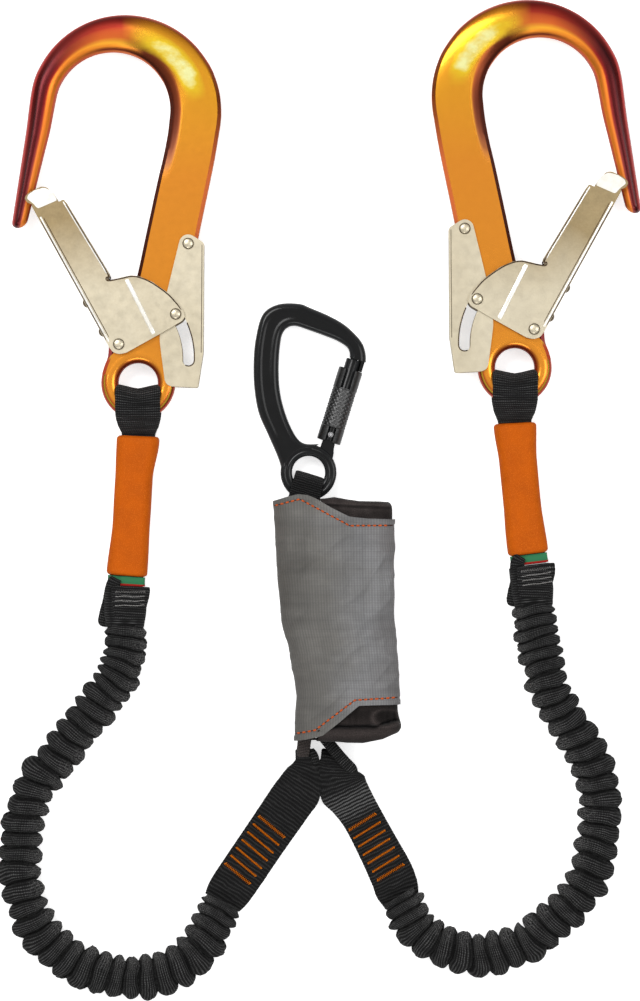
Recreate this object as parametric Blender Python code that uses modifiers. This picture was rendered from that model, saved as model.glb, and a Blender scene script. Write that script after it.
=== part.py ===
"""Twin-leg energy-absorbing lanyard, lying flat with its front side up.

Two scaffold hooks on gathered elastic arms meet at a webbing joint under an
energy absorber, whose upper loop holds a twist-lock karabiner.
Lengths in this file are in millimetres and MM turns them into metres.
World +X is to the right, +Y is towards the hooks, +Z is up from the ground.
The origin is on the ground, under the middle of the energy absorber.
"""

import math

import bmesh
import bpy
from mathutils import Matrix, Vector

MM = 0.001
GAP = 0.3
THROUGH = 60.0

# Hook, in its own plane: origin at the centre of the outer bend, u towards the spine, v up
HOOK_OFFSET_X = 120.57
HOOK_LEFT_Y = 302.1
HOOK_RIGHT_RISE = 9.0
BEND_OUTER_RADIUS = 57.6
BEND_INNER_RADIUS = 34.5
BEND_INNER_CENTRE = (-7.5, 0.6)
BEND_HALF_THICKNESS = 7.5
NOSE_INNER = (-58.3, -65.0)
NOSE_OUTER = (-67.8, -66.3)
NOSE_TIP_DROP = 4.6
NOSE_HALF_THICKNESS = 5.6
SPINE_HALF_THICKNESS = 5.9
SPINE_EDGE_RADIUS = 2.2
EYE_CENTRE = (7.8, -162.9)
EYE_HOLE_RADIUS = 11.75
EYE_OUTER_RADIUS = 22.2
EYE_HALF_THICKNESS = 6.0
EYE_EDGE_RADIUS = 4.5

# Hook mechanism
SHEET = 1.5
RIVET_SHAFT_RADIUS = 2.5
RIVET_HEAD_RADIUS = 3.4
RIVET_HEAD_HEIGHT = 1.6
GATE_PIVOT = (-3.5, -140.0)
GUIDE_PIN = (30.5, -122.0)
LEVER_PIVOT = (37.9, -79.8)
GATE_TRAVEL = 42.0
LEVER_TRAVEL = 3.5
SLOT_CLEARANCE = 0.6
GUIDE_WAY_CLEARANCE = 0.6
WEB_START = 7.0
WEB_END = 90.0
SPRING_WIRE_RADIUS = 0.5
SPRING_COIL_RADIUS = 3.5
SPRING_SEAT_RADIUS = 4.4
SPRING_SEAT_DEPTH = 1.6

# Heights above the ground
LEVER_FACE = EYE_HALF_THICKNESS + GAP
GATE_FACE = LEVER_FACE + SHEET + GAP
HOOK_HEIGHT = GATE_FACE + SHEET + GAP + RIVET_HEAD_HEIGHT

# Karabiner, in its own plane: origin at the centre of the captive eye
KARABINER_AT = (-10.77, 85.5)
KARABINER_EYE_HOLE_RADIUS = 9.9
KARABINER_EYE_OUTER_RADIUS = 16.8
KARABINER_HALF_THICKNESS = 4.8
KARABINER_EDGE_RADIUS = 3.6
KARABINER_PIN_AT = (13.3, 22.8)
KARABINER_GATE_TILT = 17.3
BARREL_RADIUS = 4.5
BARREL_TOP = 47.0
BARREL_BOTTOM = -3.6
BARREL_SHOULDER = 5.5
TANG_HALF_WIDTH = 3.4
TANG_HALF_THICKNESS = 1.9
PIN_RADIUS = 1.25
SLEEVE_SPRING_ROOM = 1.7
SLEEVE_WALL = 1.1
SLEEVE_BORE_RADIUS = BARREL_RADIUS + SLEEVE_SPRING_ROOM
SLEEVE_RADIUS = SLEEVE_BORE_RADIUS + SLEEVE_WALL
SLEEVE_BOTTOM = -4.5
SLEEVE_TOP = 40.8
SLEEVE_SHOULDER = 31.0
SLEEVE_WINDOW_WIDTH = 4.8
SLEEVE_NOTCH_WIDTH = 6.0
SLEEVE_NOTCH_DEPTH = 12.0
TONGUE_HALF_WIDTH = 2.2
TONGUE_HALF_THICKNESS = 1.5
TONGUE_LENGTH = 4.0
SLEEVE_SPRING_TURNS = 5
SLEEVE_SPRING_WIRE_RADIUS = 0.4

# Webbing
WEBBING = 2.2
PLY_GAP = 0.4
LOOP_WIDTH = 26.9
EYE_FOLD_PINCH = 0.18
STEM_WIDTH = 20.0
SLEEVE_HALF_WIDTH = 12.5
SLEEVE_HALF_THICKNESS = 7.0
LABEL_THICKNESS = 0.8
CUFF_HALF_WIDTH = 12.8
CUFF_HALF_THICKNESS = 6.5
ARM_LOOP_WIDTH = 27.0
TIE_THICKNESS = 3.0
TIE_BIGHT_WIDTH = 4.6
FOLD_HALF_GAP = 2.3
FOLD_REACH = 1.8
KARABINER_LOOP_WIDTH = 20.0
KARABINER_LOOP_PLY = 1.8

# Elastic arms: an oval gathered tube
ARM_HALF_WIDTH = 12.6
ARM_VALLEY_HALF_WIDTH = 10.4
ARM_HALF_THICKNESS = 8.0
RUFFLE_PITCH = 8.0
ARM_PLAIN_END = 7.0

# Energy absorber
PACK_THICKNESS = 34.0
PACK_CORNER = 12.0
COVER_WALL = 1.2
POUCH_WALL = 1.2

# Centre lines of the two elastic arms on the ground, from the cuff to the arm loop.
# Where a hook is moved, its end of the line follows it and the other end stays.
LEFT_ARM_ROUTE = [
    (-121, -5.9), (-121, -15), (-122, -27), (-126, -38), (-133, -48), (-139, -58), (-147, -67), (-155, -77),
    (-162, -86), (-170, -95), (-176, -106), (-180, -117), (-182, -129), (-183, -141), (-184, -153),
    (-182, -165), (-179, -176), (-174, -187), (-167, -196), (-157, -204), (-147, -211), (-136, -215),
    (-124, -218), (-112, -218), (-101, -216), (-90, -211), (-80, -204), (-73, -194), (-68, -184),
    (-62, -172),
]
RIGHT_ARM_ROUTE = [
    (124.2, 7.1), (125, -3), (127, -15), (129, -27), (132, -38), (136, -50), (142, -60), (149, -69),
    (155, -80), (160, -91), (163, -102), (165, -114), (164, -126), (162, -138), (159, -150), (155, -161),
    (149, -171),
    (140, -180), (131, -188), (123, -196), (112, -200), (100, -203), (88, -204), (76, -201), (65, -197),
    (55.5, -189.5), (49, -179), (43, -169),
]

# Centre lines of the stems from the fold in the hook's eye to the cuff's lower end, from the eye's centre
EYE_TO_FOLD = EYE_HOLE_RADIUS - 1.05
LEFT_STEM = [
    (0.0, -EYE_TO_FOLD), (-0.2, -33.2), (-2.5, -53.4), (-4.5, -86.4), (-7.1, -115.2), (-7.8, -129.2),
    (-8.2, -144.6),
]
RIGHT_STEM = [
    (0.0, -EYE_TO_FOLD), (0.3, -33.2), (2.4, -57.6), (5.6, -90.0), (8.4, -111.7), (10.1, -126.2),
    (11.4, -140.6),
]

# Upper and lower ends of sleeve, label and cuff, below the eye's centre
LEFT_GRIP = {"sleeve": (-31.8, -115.6), "label": (-116.0, -121.6), "cuff": (-122.2, -144.6)}
RIGHT_GRIP = {"sleeve": (-33.0, -111.6), "label": (-112.0, -117.6), "cuff": (-118.2, -140.6)}
CUFF_TO_ARM = 0.5


def start_scene():
    """Empty the scene and make the two collections."""
    for old in list(bpy.data.objects):
        bpy.data.objects.remove(old, do_unlink=True)
    made = []
    for name in ("y_lanyard", "cutters"):
        collection = bpy.data.collections.new(name)
        bpy.context.scene.collection.children.link(collection)
        made.append(collection)
    return made


PARTS, CUTTERS = start_scene()


def material(name, colour, roughness, metallic=0.0):
    """A Principled material."""
    made = bpy.data.materials.new(name)
    made.use_nodes = True
    shader = made.node_tree.nodes["Principled BSDF"]
    shader.inputs["Base Color"].default_value = (*colour, 1.0)
    shader.inputs["Roughness"].default_value = roughness
    shader.inputs["Metallic"].default_value = metallic
    return made


ORANGE_METAL = material("orange_anodised", (0.78, 0.27, 0.03), 0.3, 1.0)
STEEL = material("nickel_steel", (0.66, 0.61, 0.5), 0.35, 1.0)
SPRING_STEEL = material("spring_steel", (0.4, 0.4, 0.42), 0.4, 1.0)
BLACK_METAL = material("black_anodised", (0.02, 0.02, 0.022), 0.3, 1.0)
BLACK_WEBBING = material("black_webbing", (0.02, 0.02, 0.022), 0.9)
BLACK_FABRIC = material("black_fabric", (0.025, 0.023, 0.023), 0.85)
GREY_FABRIC = material("grey_ripstop", (0.18, 0.18, 0.17), 0.8)
BROWN_STRAP = material("brown_strap", (0.08, 0.07, 0.065), 0.85)
ORANGE_SLEEVE = material("orange_sleeve", (0.55, 0.1, 0.006), 0.7)
GREEN_LABEL = material("green_label", (0.02, 0.22, 0.1), 0.6)


def put(name, mesh, surface, collection=None):
    """Link a mesh as an object with one material."""
    made = bpy.data.objects.new(name, mesh)
    (collection or PARTS).objects.link(made)
    if surface:
        mesh.materials.append(surface)
    if collection is CUTTERS:
        made.hide_render = True
        made.display_type = "WIRE"
    return made


def smooth(made, degrees=35.0):
    """Smooth shading with sharp edges kept."""
    made.data.shade_smooth()
    made.data.set_sharp_from_angle(angle=math.radians(degrees))
    return made


def finish_mesh(name, bm, surface, collection=None):
    """Turn every face outwards and make the object."""
    bmesh.ops.recalc_face_normals(bm, faces=bm.faces)
    mesh = bpy.data.meshes.new(name)
    bm.to_mesh(mesh)
    bm.free()
    return put(name, mesh, surface, collection)


def loft(name, rings, surface, inner=None, collection=None):
    """Join rings of points, in mm, with caps, or round a bore where inner rings are given."""
    bm = bmesh.new()

    def skin(loops):
        verts = [[bm.verts.new(Vector(p) * MM) for p in loop] for loop in loops]
        for low, high in zip(verts, verts[1:]):
            for k in range(len(low)):
                n = (k + 1) % len(low)
                bm.faces.new((low[k], low[n], high[n], high[k]))
        return verts

    outer_verts = skin(rings)
    if inner is None:
        bm.faces.new(outer_verts[0])
        bm.faces.new(outer_verts[-1])
    else:
        inner_verts = skin(inner)
        for side in (0, -1):
            out, bore = outer_verts[side], inner_verts[side]
            for k in range(len(out)):
                n = (k + 1) % len(out)
                bm.faces.new((out[k], out[n], bore[n], bore[k]))
    return finish_mesh(name, bm, surface, collection)


def section(half_width, half_thickness, corner, arc_steps=2):
    """A rounded rectangle as (across, up) points."""
    corner = min(corner, 0.97 * half_width, 0.97 * half_thickness)
    points = []
    for quarter, (sx, sy) in enumerate(((1, 1), (-1, 1), (-1, -1), (1, -1))):
        for k in range(arc_steps + 1):
            angle = math.radians(90.0 * quarter + 90.0 * k / arc_steps)
            points.append((
                sx * (half_width - corner) + corner * math.cos(angle),
                sy * (half_thickness - corner) + corner * math.sin(angle),
            ))
    return points


def flat_solid(name, outline, low, high, surface, collection=None):
    """A flat outline from height low to high, as a filled 2D curve made into a mesh."""
    curve = bpy.data.curves.new(name, "CURVE")
    curve.dimensions = "2D"
    curve.fill_mode = "BOTH"
    curve.extrude = (high - low) / 2.0 * MM
    spline = curve.splines.new("POLY")
    spline.points.add(len(outline) - 1)
    for point, (x, y) in zip(spline.points, outline):
        point.co = (x * MM, y * MM, 0.0, 1.0)
    spline.use_cyclic_u = True
    drawn = bpy.data.objects.new(name + "_outline", curve)
    drawn.location.z = (high + low) / 2.0 * MM
    PARTS.objects.link(drawn)
    return curve_to_mesh(name, drawn, surface, collection)


def curve_to_mesh(name, drawn, surface, collection=None):
    """Replace a curve object by its welded mesh."""
    bpy.context.view_layer.update()
    seen = drawn.evaluated_get(bpy.context.evaluated_depsgraph_get())
    mesh = bpy.data.meshes.new_from_object(seen)
    mesh.name = name
    mesh.transform(drawn.matrix_world)
    bm = bmesh.new()
    bm.from_mesh(mesh)
    bmesh.ops.remove_doubles(bm, verts=bm.verts, dist=1e-6)
    bmesh.ops.recalc_face_normals(bm, faces=bm.faces)
    bm.to_mesh(mesh)
    bm.free()
    mesh.materials.clear()
    bpy.data.objects.remove(drawn, do_unlink=True)
    return put(name, mesh, surface, collection)


def boolean(made, other, operation="DIFFERENCE"):
    """Add a boolean with another object, which becomes a cutter."""
    modifier = made.modifiers.new(operation.lower(), "BOOLEAN")
    modifier.operation = operation
    modifier.solver = "EXACT"
    modifier.object = other
    return made


def peg(name, at, radius, low, high, segments=20):
    """An upright round cutter."""
    bm = bmesh.new()
    bmesh.ops.create_cone(
        bm, cap_ends=True, segments=segments, radius1=radius * MM, radius2=radius * MM,
        depth=(high - low) * MM,
        matrix=Matrix.Translation(Vector((at[0], at[1], (high + low) / 2.0)) * MM),
    )
    return finish_mesh(name, bm, None, CUTTERS)


def turned(name, profile, steps, surface, at=(0, 0, 0), axis=(0, 0, 1), collection=None):
    """A profile of (radius, height) turned round an axis: it ends on the axis or is a closed loop."""
    closed = profile[0][0] > 0.0
    mesh = bpy.data.meshes.new(name)
    edges = [(k, k + 1) for k in range(len(profile) - 1)]
    if closed:
        edges.append((len(profile) - 1, 0))
    mesh.from_pydata([(r * MM, 0.0, h * MM) for r, h in profile], edges, [])
    made = put(name, mesh, surface, collection)
    screw = made.modifiers.new("turn", "SCREW")
    screw.axis = "Z"
    screw.steps = screw.render_steps = steps
    screw.use_merge_vertices = True
    screw.merge_threshold = 1e-5
    turn = Vector(axis).to_track_quat("Z", "Y").to_matrix().to_4x4()
    made.matrix_world = Matrix.Translation(Vector(at) * MM) @ turn
    bpy.context.view_layer.update()
    return made


def bake(made):
    """Apply the modifiers and the placing, so that the mesh is in world space."""
    bpy.context.view_layer.update()
    seen = made.evaluated_get(bpy.context.evaluated_depsgraph_get())
    mesh = bpy.data.meshes.new_from_object(seen)
    mesh.transform(made.matrix_world)
    mesh.name = made.name
    made.modifiers.clear()
    made.data = mesh
    made.matrix_world = Matrix.Identity(4)
    return made


def set_origin(made, point):
    """Move the object's origin to a point in mm and leave its shape where it is."""
    shift = Vector(point) * MM
    made.data.transform(Matrix.Translation(-shift))
    made.location = shift
    return made


def unit(x, y):
    """The direction of a plane vector."""
    length = math.hypot(x, y)
    return (x / length, y / length)


def catmull(points, spacing):
    """Points about a spacing apart along a smooth curve through plane points."""
    padded = [points[0], *points, points[-1]]
    found = []
    for a, b, c, d in zip(padded, padded[1:], padded[2:], padded[3:]):
        count = max(1, round(math.dist(b, c) * 8.0 / spacing))
        for k in range(count):
            t = k / count
            found.append(tuple(
                0.5 * (
                    2 * q + (r - p) * t + (2 * p - 5 * q + 4 * r - s) * t * t
                    + (3 * q - p - 3 * r + s) * t ** 3)
                for p, q, r, s in zip(a, b, c, d)
            ))
    found.append(points[-1])
    total = sum(math.dist(p, q) for p, q in zip(found, found[1:]))
    wanted = max(2, round(total / spacing))
    even, walked, index = [found[0]], 0.0, 0
    for k in range(1, wanted):
        target = total * k / wanted
        while walked + math.dist(found[index], found[index + 1]) < target:
            walked += math.dist(found[index], found[index + 1])
            index += 1
        share = (target - walked) / math.dist(found[index], found[index + 1])
        even.append(tuple(p + (q - p) * share for p, q in zip(found[index], found[index + 1])))
    even.append(found[-1])
    return even


class HookPlane:
    """Places a hook's own (u, v) plane in the world: side -1 is the left hook, +1 the right one."""

    def __init__(self, side):
        self.side = side
        self.base_y = HOOK_LEFT_Y + (HOOK_RIGHT_RISE if side > 0 else 0.0)

    def at(self, point, height=0.0):
        u, v = point
        return (self.side * (HOOK_OFFSET_X - u), self.base_y + v, HOOK_HEIGHT + height)

    def outline(self, points):
        return [self.at(p)[:2] for p in points]


def polar(centre, radius, degrees):
    """The point at a radius and angle from a centre."""
    angle = math.radians(degrees)
    return (centre[0] + radius * math.cos(angle), centre[1] + radius * math.sin(angle))


def turn_about(point, centre, degrees):
    """A plane point turned about a centre."""
    angle = math.radians(degrees)
    dx, dy = point[0] - centre[0], point[1] - centre[1]
    return (
        centre[0] + dx * math.cos(angle) - dy * math.sin(angle),
        centre[1] + dx * math.sin(angle) + dy * math.cos(angle),
    )


def mix(a, b, share):
    """A point or number part of the way from a to b."""
    if isinstance(a, tuple):
        return tuple(p + (q - p) * share for p, q in zip(a, b))
    return a + (b - a) * share


def hook_stations():
    """Inner edge, outer edge, half thickness and edge radius along the hook, from the nose to the eye."""
    full = 50.0
    stations = []
    nose_middle = mix(NOSE_INNER, NOSE_OUTER, 0.5)
    bend_start = (BEND_INNER_CENTRE[0] - BEND_INNER_RADIUS, BEND_INNER_CENTRE[1]), (-BEND_OUTER_RADIUS, 0.0)
    down = unit(*(a - b for a, b in zip(nose_middle, mix(*bend_start, 0.5))))
    for lift in (78.0, 50.0, 24.0):
        shrink = math.cos(math.radians(lift))
        shift = NOSE_TIP_DROP * math.sin(math.radians(lift))
        ends = [
            tuple(m + (e - m) * shrink + d * shift for m, e, d in zip(nose_middle, edge, down))
            for edge in (NOSE_INNER, NOSE_OUTER)
        ]
        stations.append((*ends, NOSE_HALF_THICKNESS * shrink, full))
    for share in (0.0, 0.25, 0.5, 0.75):
        stations.append((
            mix(NOSE_INNER, bend_start[0], share), mix(NOSE_OUTER, bend_start[1], share),
            mix(NOSE_HALF_THICKNESS, BEND_HALF_THICKNESS, share), full,
        ))
    for degrees in range(180, -1, -15):
        fade = min(1.0, max(0.0, (75.0 - degrees) / 95.0))
        stations.append((
            polar(BEND_INNER_CENTRE, BEND_INNER_RADIUS, degrees),
            polar((0.0, 0.0), BEND_OUTER_RADIUS, degrees),
            mix(BEND_HALF_THICKNESS, SPINE_HALF_THICKNESS, fade),
            mix(BEND_HALF_THICKNESS, SPINE_EDGE_RADIUS, fade),
        ))
    for v, inner, outer in (
        (-15.0, 24.1, 55.2), (-42.0, 18.8, 50.4), (-71.0, 13.0, 44.6), (-95.0, 8.2, 40.0),
        (-112.0, 4.0, 36.7), (-124.0, -0.5, 34.5), (-130.0, -3.6, 33.6), (-134.5, -7.0, 32.9),
        (-138.5, -9.5, 32.3),
        (-143.0, -9.8, 31.7), (-148.0, -10.4, 31.0), (-153.0, -12.4, 30.0), (-158.0, -13.8, 29.4),
    ):
        stations.append(((inner, v), (outer, v), SPINE_HALF_THICKNESS, SPINE_EDGE_RADIUS))
    return stations


def hook_body(prefix, plane):
    """The forged body: a loft from the nose to the eye, a rounded ring, and the rivet holes."""
    rings = []
    for inner, outer, thick, corner in hook_stations():
        a, b = plane.at(inner), plane.at(outer)
        across = unit(b[0] - a[0], b[1] - a[1])
        half = math.dist(a[:2], b[:2]) / 2.0
        rings.append([
            ((a[0] + b[0]) / 2.0 + across[0] * w, (a[1] + b[1]) / 2.0 + across[1] * w, HOOK_HEIGHT + h)
            for w, h in section(half, thick, corner)
        ])
    body = loft(prefix + "hook_body", rings, ORANGE_METAL)
    band = (EYE_OUTER_RADIUS + EYE_HOLE_RADIUS) / 2.0
    low, high = HOOK_HEIGHT - THROUGH, HOOK_HEIGHT + THROUGH
    boolean(body, peg(prefix + "eye_bore", plane.at(EYE_CENTRE), band, low, high, 32))
    pin_reach = math.dist(GATE_PIVOT, GUIDE_PIN)
    near = pin_reach - RIVET_SHAFT_RADIUS - GUIDE_WAY_CLEARANCE
    first = math.degrees(math.atan2(GUIDE_PIN[1] - GATE_PIVOT[1], GUIDE_PIN[0] - GATE_PIVOT[0])) + 6.0
    last = first - GATE_TRAVEL - 10.0
    way = [polar(GATE_PIVOT, near, mix(first, last, k / 8.0)) for k in range(9)]
    way += [polar(GATE_PIVOT, 1.7 * near, last), polar(GATE_PIVOT, 1.7 * near, first)]
    boolean(body, flat_solid(prefix + "guide_way", plane.outline(way), low, high, None, collection=CUTTERS))
    profile = [(band + w, h) for w, h in reversed(section(
        (EYE_OUTER_RADIUS - EYE_HOLE_RADIUS) / 2.0, EYE_HALF_THICKNESS, EYE_EDGE_RADIUS))]
    eye = turned(prefix + "eye_ring", profile, 32, None, plane.at(EYE_CENTRE), collection=CUTTERS)
    boolean(body, eye, "UNION")
    for label, pivot in (("gate", GATE_PIVOT), ("lever", LEVER_PIVOT)):
        hole = peg(prefix + label + "_rivet_hole", plane.at(pivot), RIVET_SHAFT_RADIUS + GAP, low, high, 16)
        boolean(body, hole)
        floor = HOOK_HEIGHT + SPINE_HALF_THICKNESS - SPRING_SEAT_DEPTH
        seat = peg(prefix + label + "_spring_seat", plane.at(pivot), SPRING_SEAT_RADIUS, floor, high, 20)
        boolean(body, seat)
    return smooth(body)


GATE_LEFT_LOW = (-9.3, -141.9)
GATE_LEFT_HIGH = (-55.5, -57.6)
GATE_OUTLINE = [
    GATE_LEFT_LOW, (-9.9, -140.6), GATE_LEFT_HIGH, (-55.0, -56.7), (-58.3, -55.4), (-59.8, -52.8),
    (-58.3, -50.4), (-53.1, -47.4), (-49.4, -45.8), (-45.8, -46.6), (-42.0, -51.3), (-39.6, -55.2),
    (-36.3, -53.4),
    (-9.2, -98.1), (-10.7, -100.2), (-10.2, -102.6), (-2.1, -100.2), (3.9, -98.9), (9.3, -99.7),
    (16.5, -102.8), (25.7, -109.2), (31.5, -115.2), (35.4, -120.3), (36.0, -123.9), (34.2, -126.3),
    (20.1, -134.5), (0.9, -145.2), (-3.3, -146.0), (-6.9, -144.9),
]


def gate(prefix, plane):
    """The folded sheet gate: two cheeks joined by a wall along the outer edge of its arm."""
    outer_face = GATE_FACE + SHEET
    made = flat_solid(
        prefix + "gate", plane.outline(GATE_OUTLINE), HOOK_HEIGHT - outer_face, HOOK_HEIGHT + outer_face,
        STEEL)
    along = unit(GATE_LEFT_HIGH[0] - GATE_LEFT_LOW[0], GATE_LEFT_HIGH[1] - GATE_LEFT_LOW[1])
    inward = (along[1], -along[0])

    def wall_point(distance, depth):
        return tuple(p + a * distance + i * depth for p, a, i in zip(GATE_LEFT_LOW, along, inward))

    pocket = [
        wall_point(WEB_START, SHEET), wall_point(WEB_START, -4.0), (-30.0, -160.0), (70.0, -160.0),
        (70.0, -30.0), (-80.0, -30.0), wall_point(WEB_END, -4.0), wall_point(WEB_END, SHEET),
    ]
    boolean(made, flat_solid(
        prefix + "gate_pocket", plane.outline(pocket), HOOK_HEIGHT - GATE_FACE, HOOK_HEIGHT + GATE_FACE,
        None, collection=CUTTERS))
    for label, pivot in (("pivot", GATE_PIVOT), ("guide", GUIDE_PIN)):
        boolean(made, peg(
            prefix + "gate_" + label + "_hole", plane.at(pivot), RIVET_SHAFT_RADIUS + GAP,
            HOOK_HEIGHT - THROUGH, HOOK_HEIGHT + THROUGH, 16))
    return set_origin(made, plane.at(GATE_PIVOT))


LEVER_OUTLINE_REST = [
    (47.3, -79.3), (47.1, -113.0), (46.9, -144.9), (43.7, -165.4), (42.6, -165.9), (27.5, -165.2),
    (25.0, -163.8), (23.9, -161.5), (22.1, -147.8), (20.9, -138.0), (21.3, -128.0), (25.3, -108.7),
]


def slot_outline():
    """The lever's slot: the guide pin's way as the gate and the lever turn together."""
    half = RIVET_SHAFT_RADIUS + SLOT_CLEARANCE
    ratio = LEVER_TRAVEL / GATE_TRAVEL
    way = [
        turn_about(turn_about(GUIDE_PIN, GATE_PIVOT, -turned_by), LEVER_PIVOT, ratio * turned_by)
        for turned_by in (GATE_TRAVEL * k / 10.0 for k in range(11))
    ]
    left, right = [], []
    for k, point in enumerate(way):
        before, after = way[max(k - 1, 0)], way[min(k + 1, len(way) - 1)]
        tangent = unit(after[0] - before[0], after[1] - before[1])
        left.append((point[0] - tangent[1] * half, point[1] + tangent[0] * half))
        right.append((point[0] + tangent[1] * half, point[1] - tangent[0] * half))
    start_cap = [turn_about(right[0], way[0], -36.0 * k) for k in range(1, 5)]
    end_cap = [turn_about(left[-1], way[-1], -36.0 * k) for k in range(1, 5)]
    return left + end_cap + right[::-1] + start_cap


def lock_lever(prefix, plane):
    """The folded sheet lever: two cheeks joined along the back, with the guide slot in both."""
    top = [polar(LEVER_PIVOT, 5.4, degrees) for degrees in (165, 135, 105, 78, 60)]
    outer_face = LEVER_FACE + SHEET
    made = flat_solid(
        prefix + "lock_lever", plane.outline(top + LEVER_OUTLINE_REST), HOOK_HEIGHT - outer_face,
        HOOK_HEIGHT + outer_face, STEEL)
    back = LEVER_OUTLINE_REST[0][0] - SHEET
    pocket = [
        (back, -86.0), (70.0, -86.0), (70.0, -50.0), (5.0, -50.0), (5.0, -180.0), (70.0, -180.0),
        (70.0, -158.0),
        (back - 2.5, -158.0), (back - 0.4, -144.9),
    ]
    boolean(made, flat_solid(
        prefix + "lever_pocket", plane.outline(pocket), HOOK_HEIGHT - LEVER_FACE, HOOK_HEIGHT + LEVER_FACE,
        None, collection=CUTTERS))
    low, high = HOOK_HEIGHT - THROUGH, HOOK_HEIGHT + THROUGH
    boolean(made, flat_solid(
        prefix + "lever_slot", plane.outline(slot_outline()), low, high, None, collection=CUTTERS))
    boolean(made, peg(
        prefix + "lever_pivot_hole", plane.at(LEVER_PIVOT), RIVET_SHAFT_RADIUS + GAP, low, high, 16))
    return set_origin(made, plane.at(LEVER_PIVOT))


def rivet(name, plane, point, sheet_face):
    """A rivet with a shaft and two domed heads that lie outside the sheet."""
    base = sheet_face + SHEET + GAP
    top = base + RIVET_HEAD_HEIGHT
    head = RIVET_HEAD_RADIUS
    half = [
        (0.0, top), (0.65 * head, top - 0.24 * RIVET_HEAD_HEIGHT), (head, base + 0.15 * RIVET_HEAD_HEIGHT),
        (head, base), (RIVET_SHAFT_RADIUS, base),
    ]
    profile = half + [(r, -h) for r, h in reversed(half)]
    made = turned(name, profile, 12, STEEL, plane.at(point))
    return smooth(bake(made), 50.0)


def wire(name, points, radius, surface, resolution=1):
    """A round wire along points, with filled ends."""
    curve = bpy.data.curves.new(name, "CURVE")
    curve.dimensions = "3D"
    curve.bevel_depth = radius * MM
    curve.bevel_resolution = resolution
    curve.use_fill_caps = True
    spline = curve.splines.new("POLY")
    spline.points.add(len(points) - 1)
    for point, place in zip(spline.points, points):
        point.co = (*(c * MM for c in place), 1.0)
    drawn = bpy.data.objects.new(name + "_line", curve)
    PARTS.objects.link(drawn)
    return smooth(curve_to_mesh(name, drawn, surface))


def torsion_spring(name, plane, point):
    """One turn of wire in its seat round a rivet, under the cheek."""
    height = SPINE_HALF_THICKNESS - SPRING_SEAT_DEPTH + GAP + SPRING_WIRE_RADIUS
    turn = [
        plane.at(polar(point, SPRING_COIL_RADIUS, 330.0 * k / 14.0), height) for k in range(15)
    ]
    return wire(name, turn, SPRING_WIRE_RADIUS, SPRING_STEEL)


def hook(prefix, side):
    """One scaffold hook with its gate and lock."""
    plane = HookPlane(side)
    hook_body(prefix, plane)
    gate(prefix, plane)
    lock_lever(prefix, plane)
    rivet(prefix + "gate_pivot_rivet", plane, GATE_PIVOT, GATE_FACE)
    rivet(prefix + "guide_rivet", plane, GUIDE_PIN, GATE_FACE)
    rivet(prefix + "lever_rivet", plane, LEVER_PIVOT, LEVER_FACE)
    torsion_spring(prefix + "gate_spring", plane, GATE_PIVOT)
    torsion_spring(prefix + "lever_spring", plane, LEVER_PIVOT)


KARABINER_HEIGHT = SLEEVE_RADIUS
GATE_ALONG = (math.sin(math.radians(KARABINER_GATE_TILT)), math.cos(math.radians(KARABINER_GATE_TILT)))
GATE_RIGHT = (GATE_ALONG[1], -GATE_ALONG[0])


def karabiner_at(point, height=0.0):
    """A point of the karabiner's own plane in the world."""
    return (KARABINER_AT[0] + point[0], KARABINER_AT[1] + point[1], KARABINER_HEIGHT + height)


def on_gate(along, right=0.0):
    """A plane point by its distance along the gate from the pivot pin, and to the right of it."""
    return tuple(p + a * along + r * right for p, a, r in zip(KARABINER_PIN_AT, GATE_ALONG, GATE_RIGHT))


def gate_box(name, along, right, up, collection=CUTTERS):
    """A box in line with the gate, from low to high in each direction."""
    corners = [on_gate(along[0], right[0]), on_gate(along[0], right[1]), on_gate(along[1], right[1]),
               on_gate(along[1], right[0])]
    outline = [karabiner_at(c)[:2] for c in corners]
    low, high = KARABINER_HEIGHT + up[0], KARABINER_HEIGHT + up[1]
    return flat_solid(name, outline, low, high, None, collection=collection)


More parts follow.
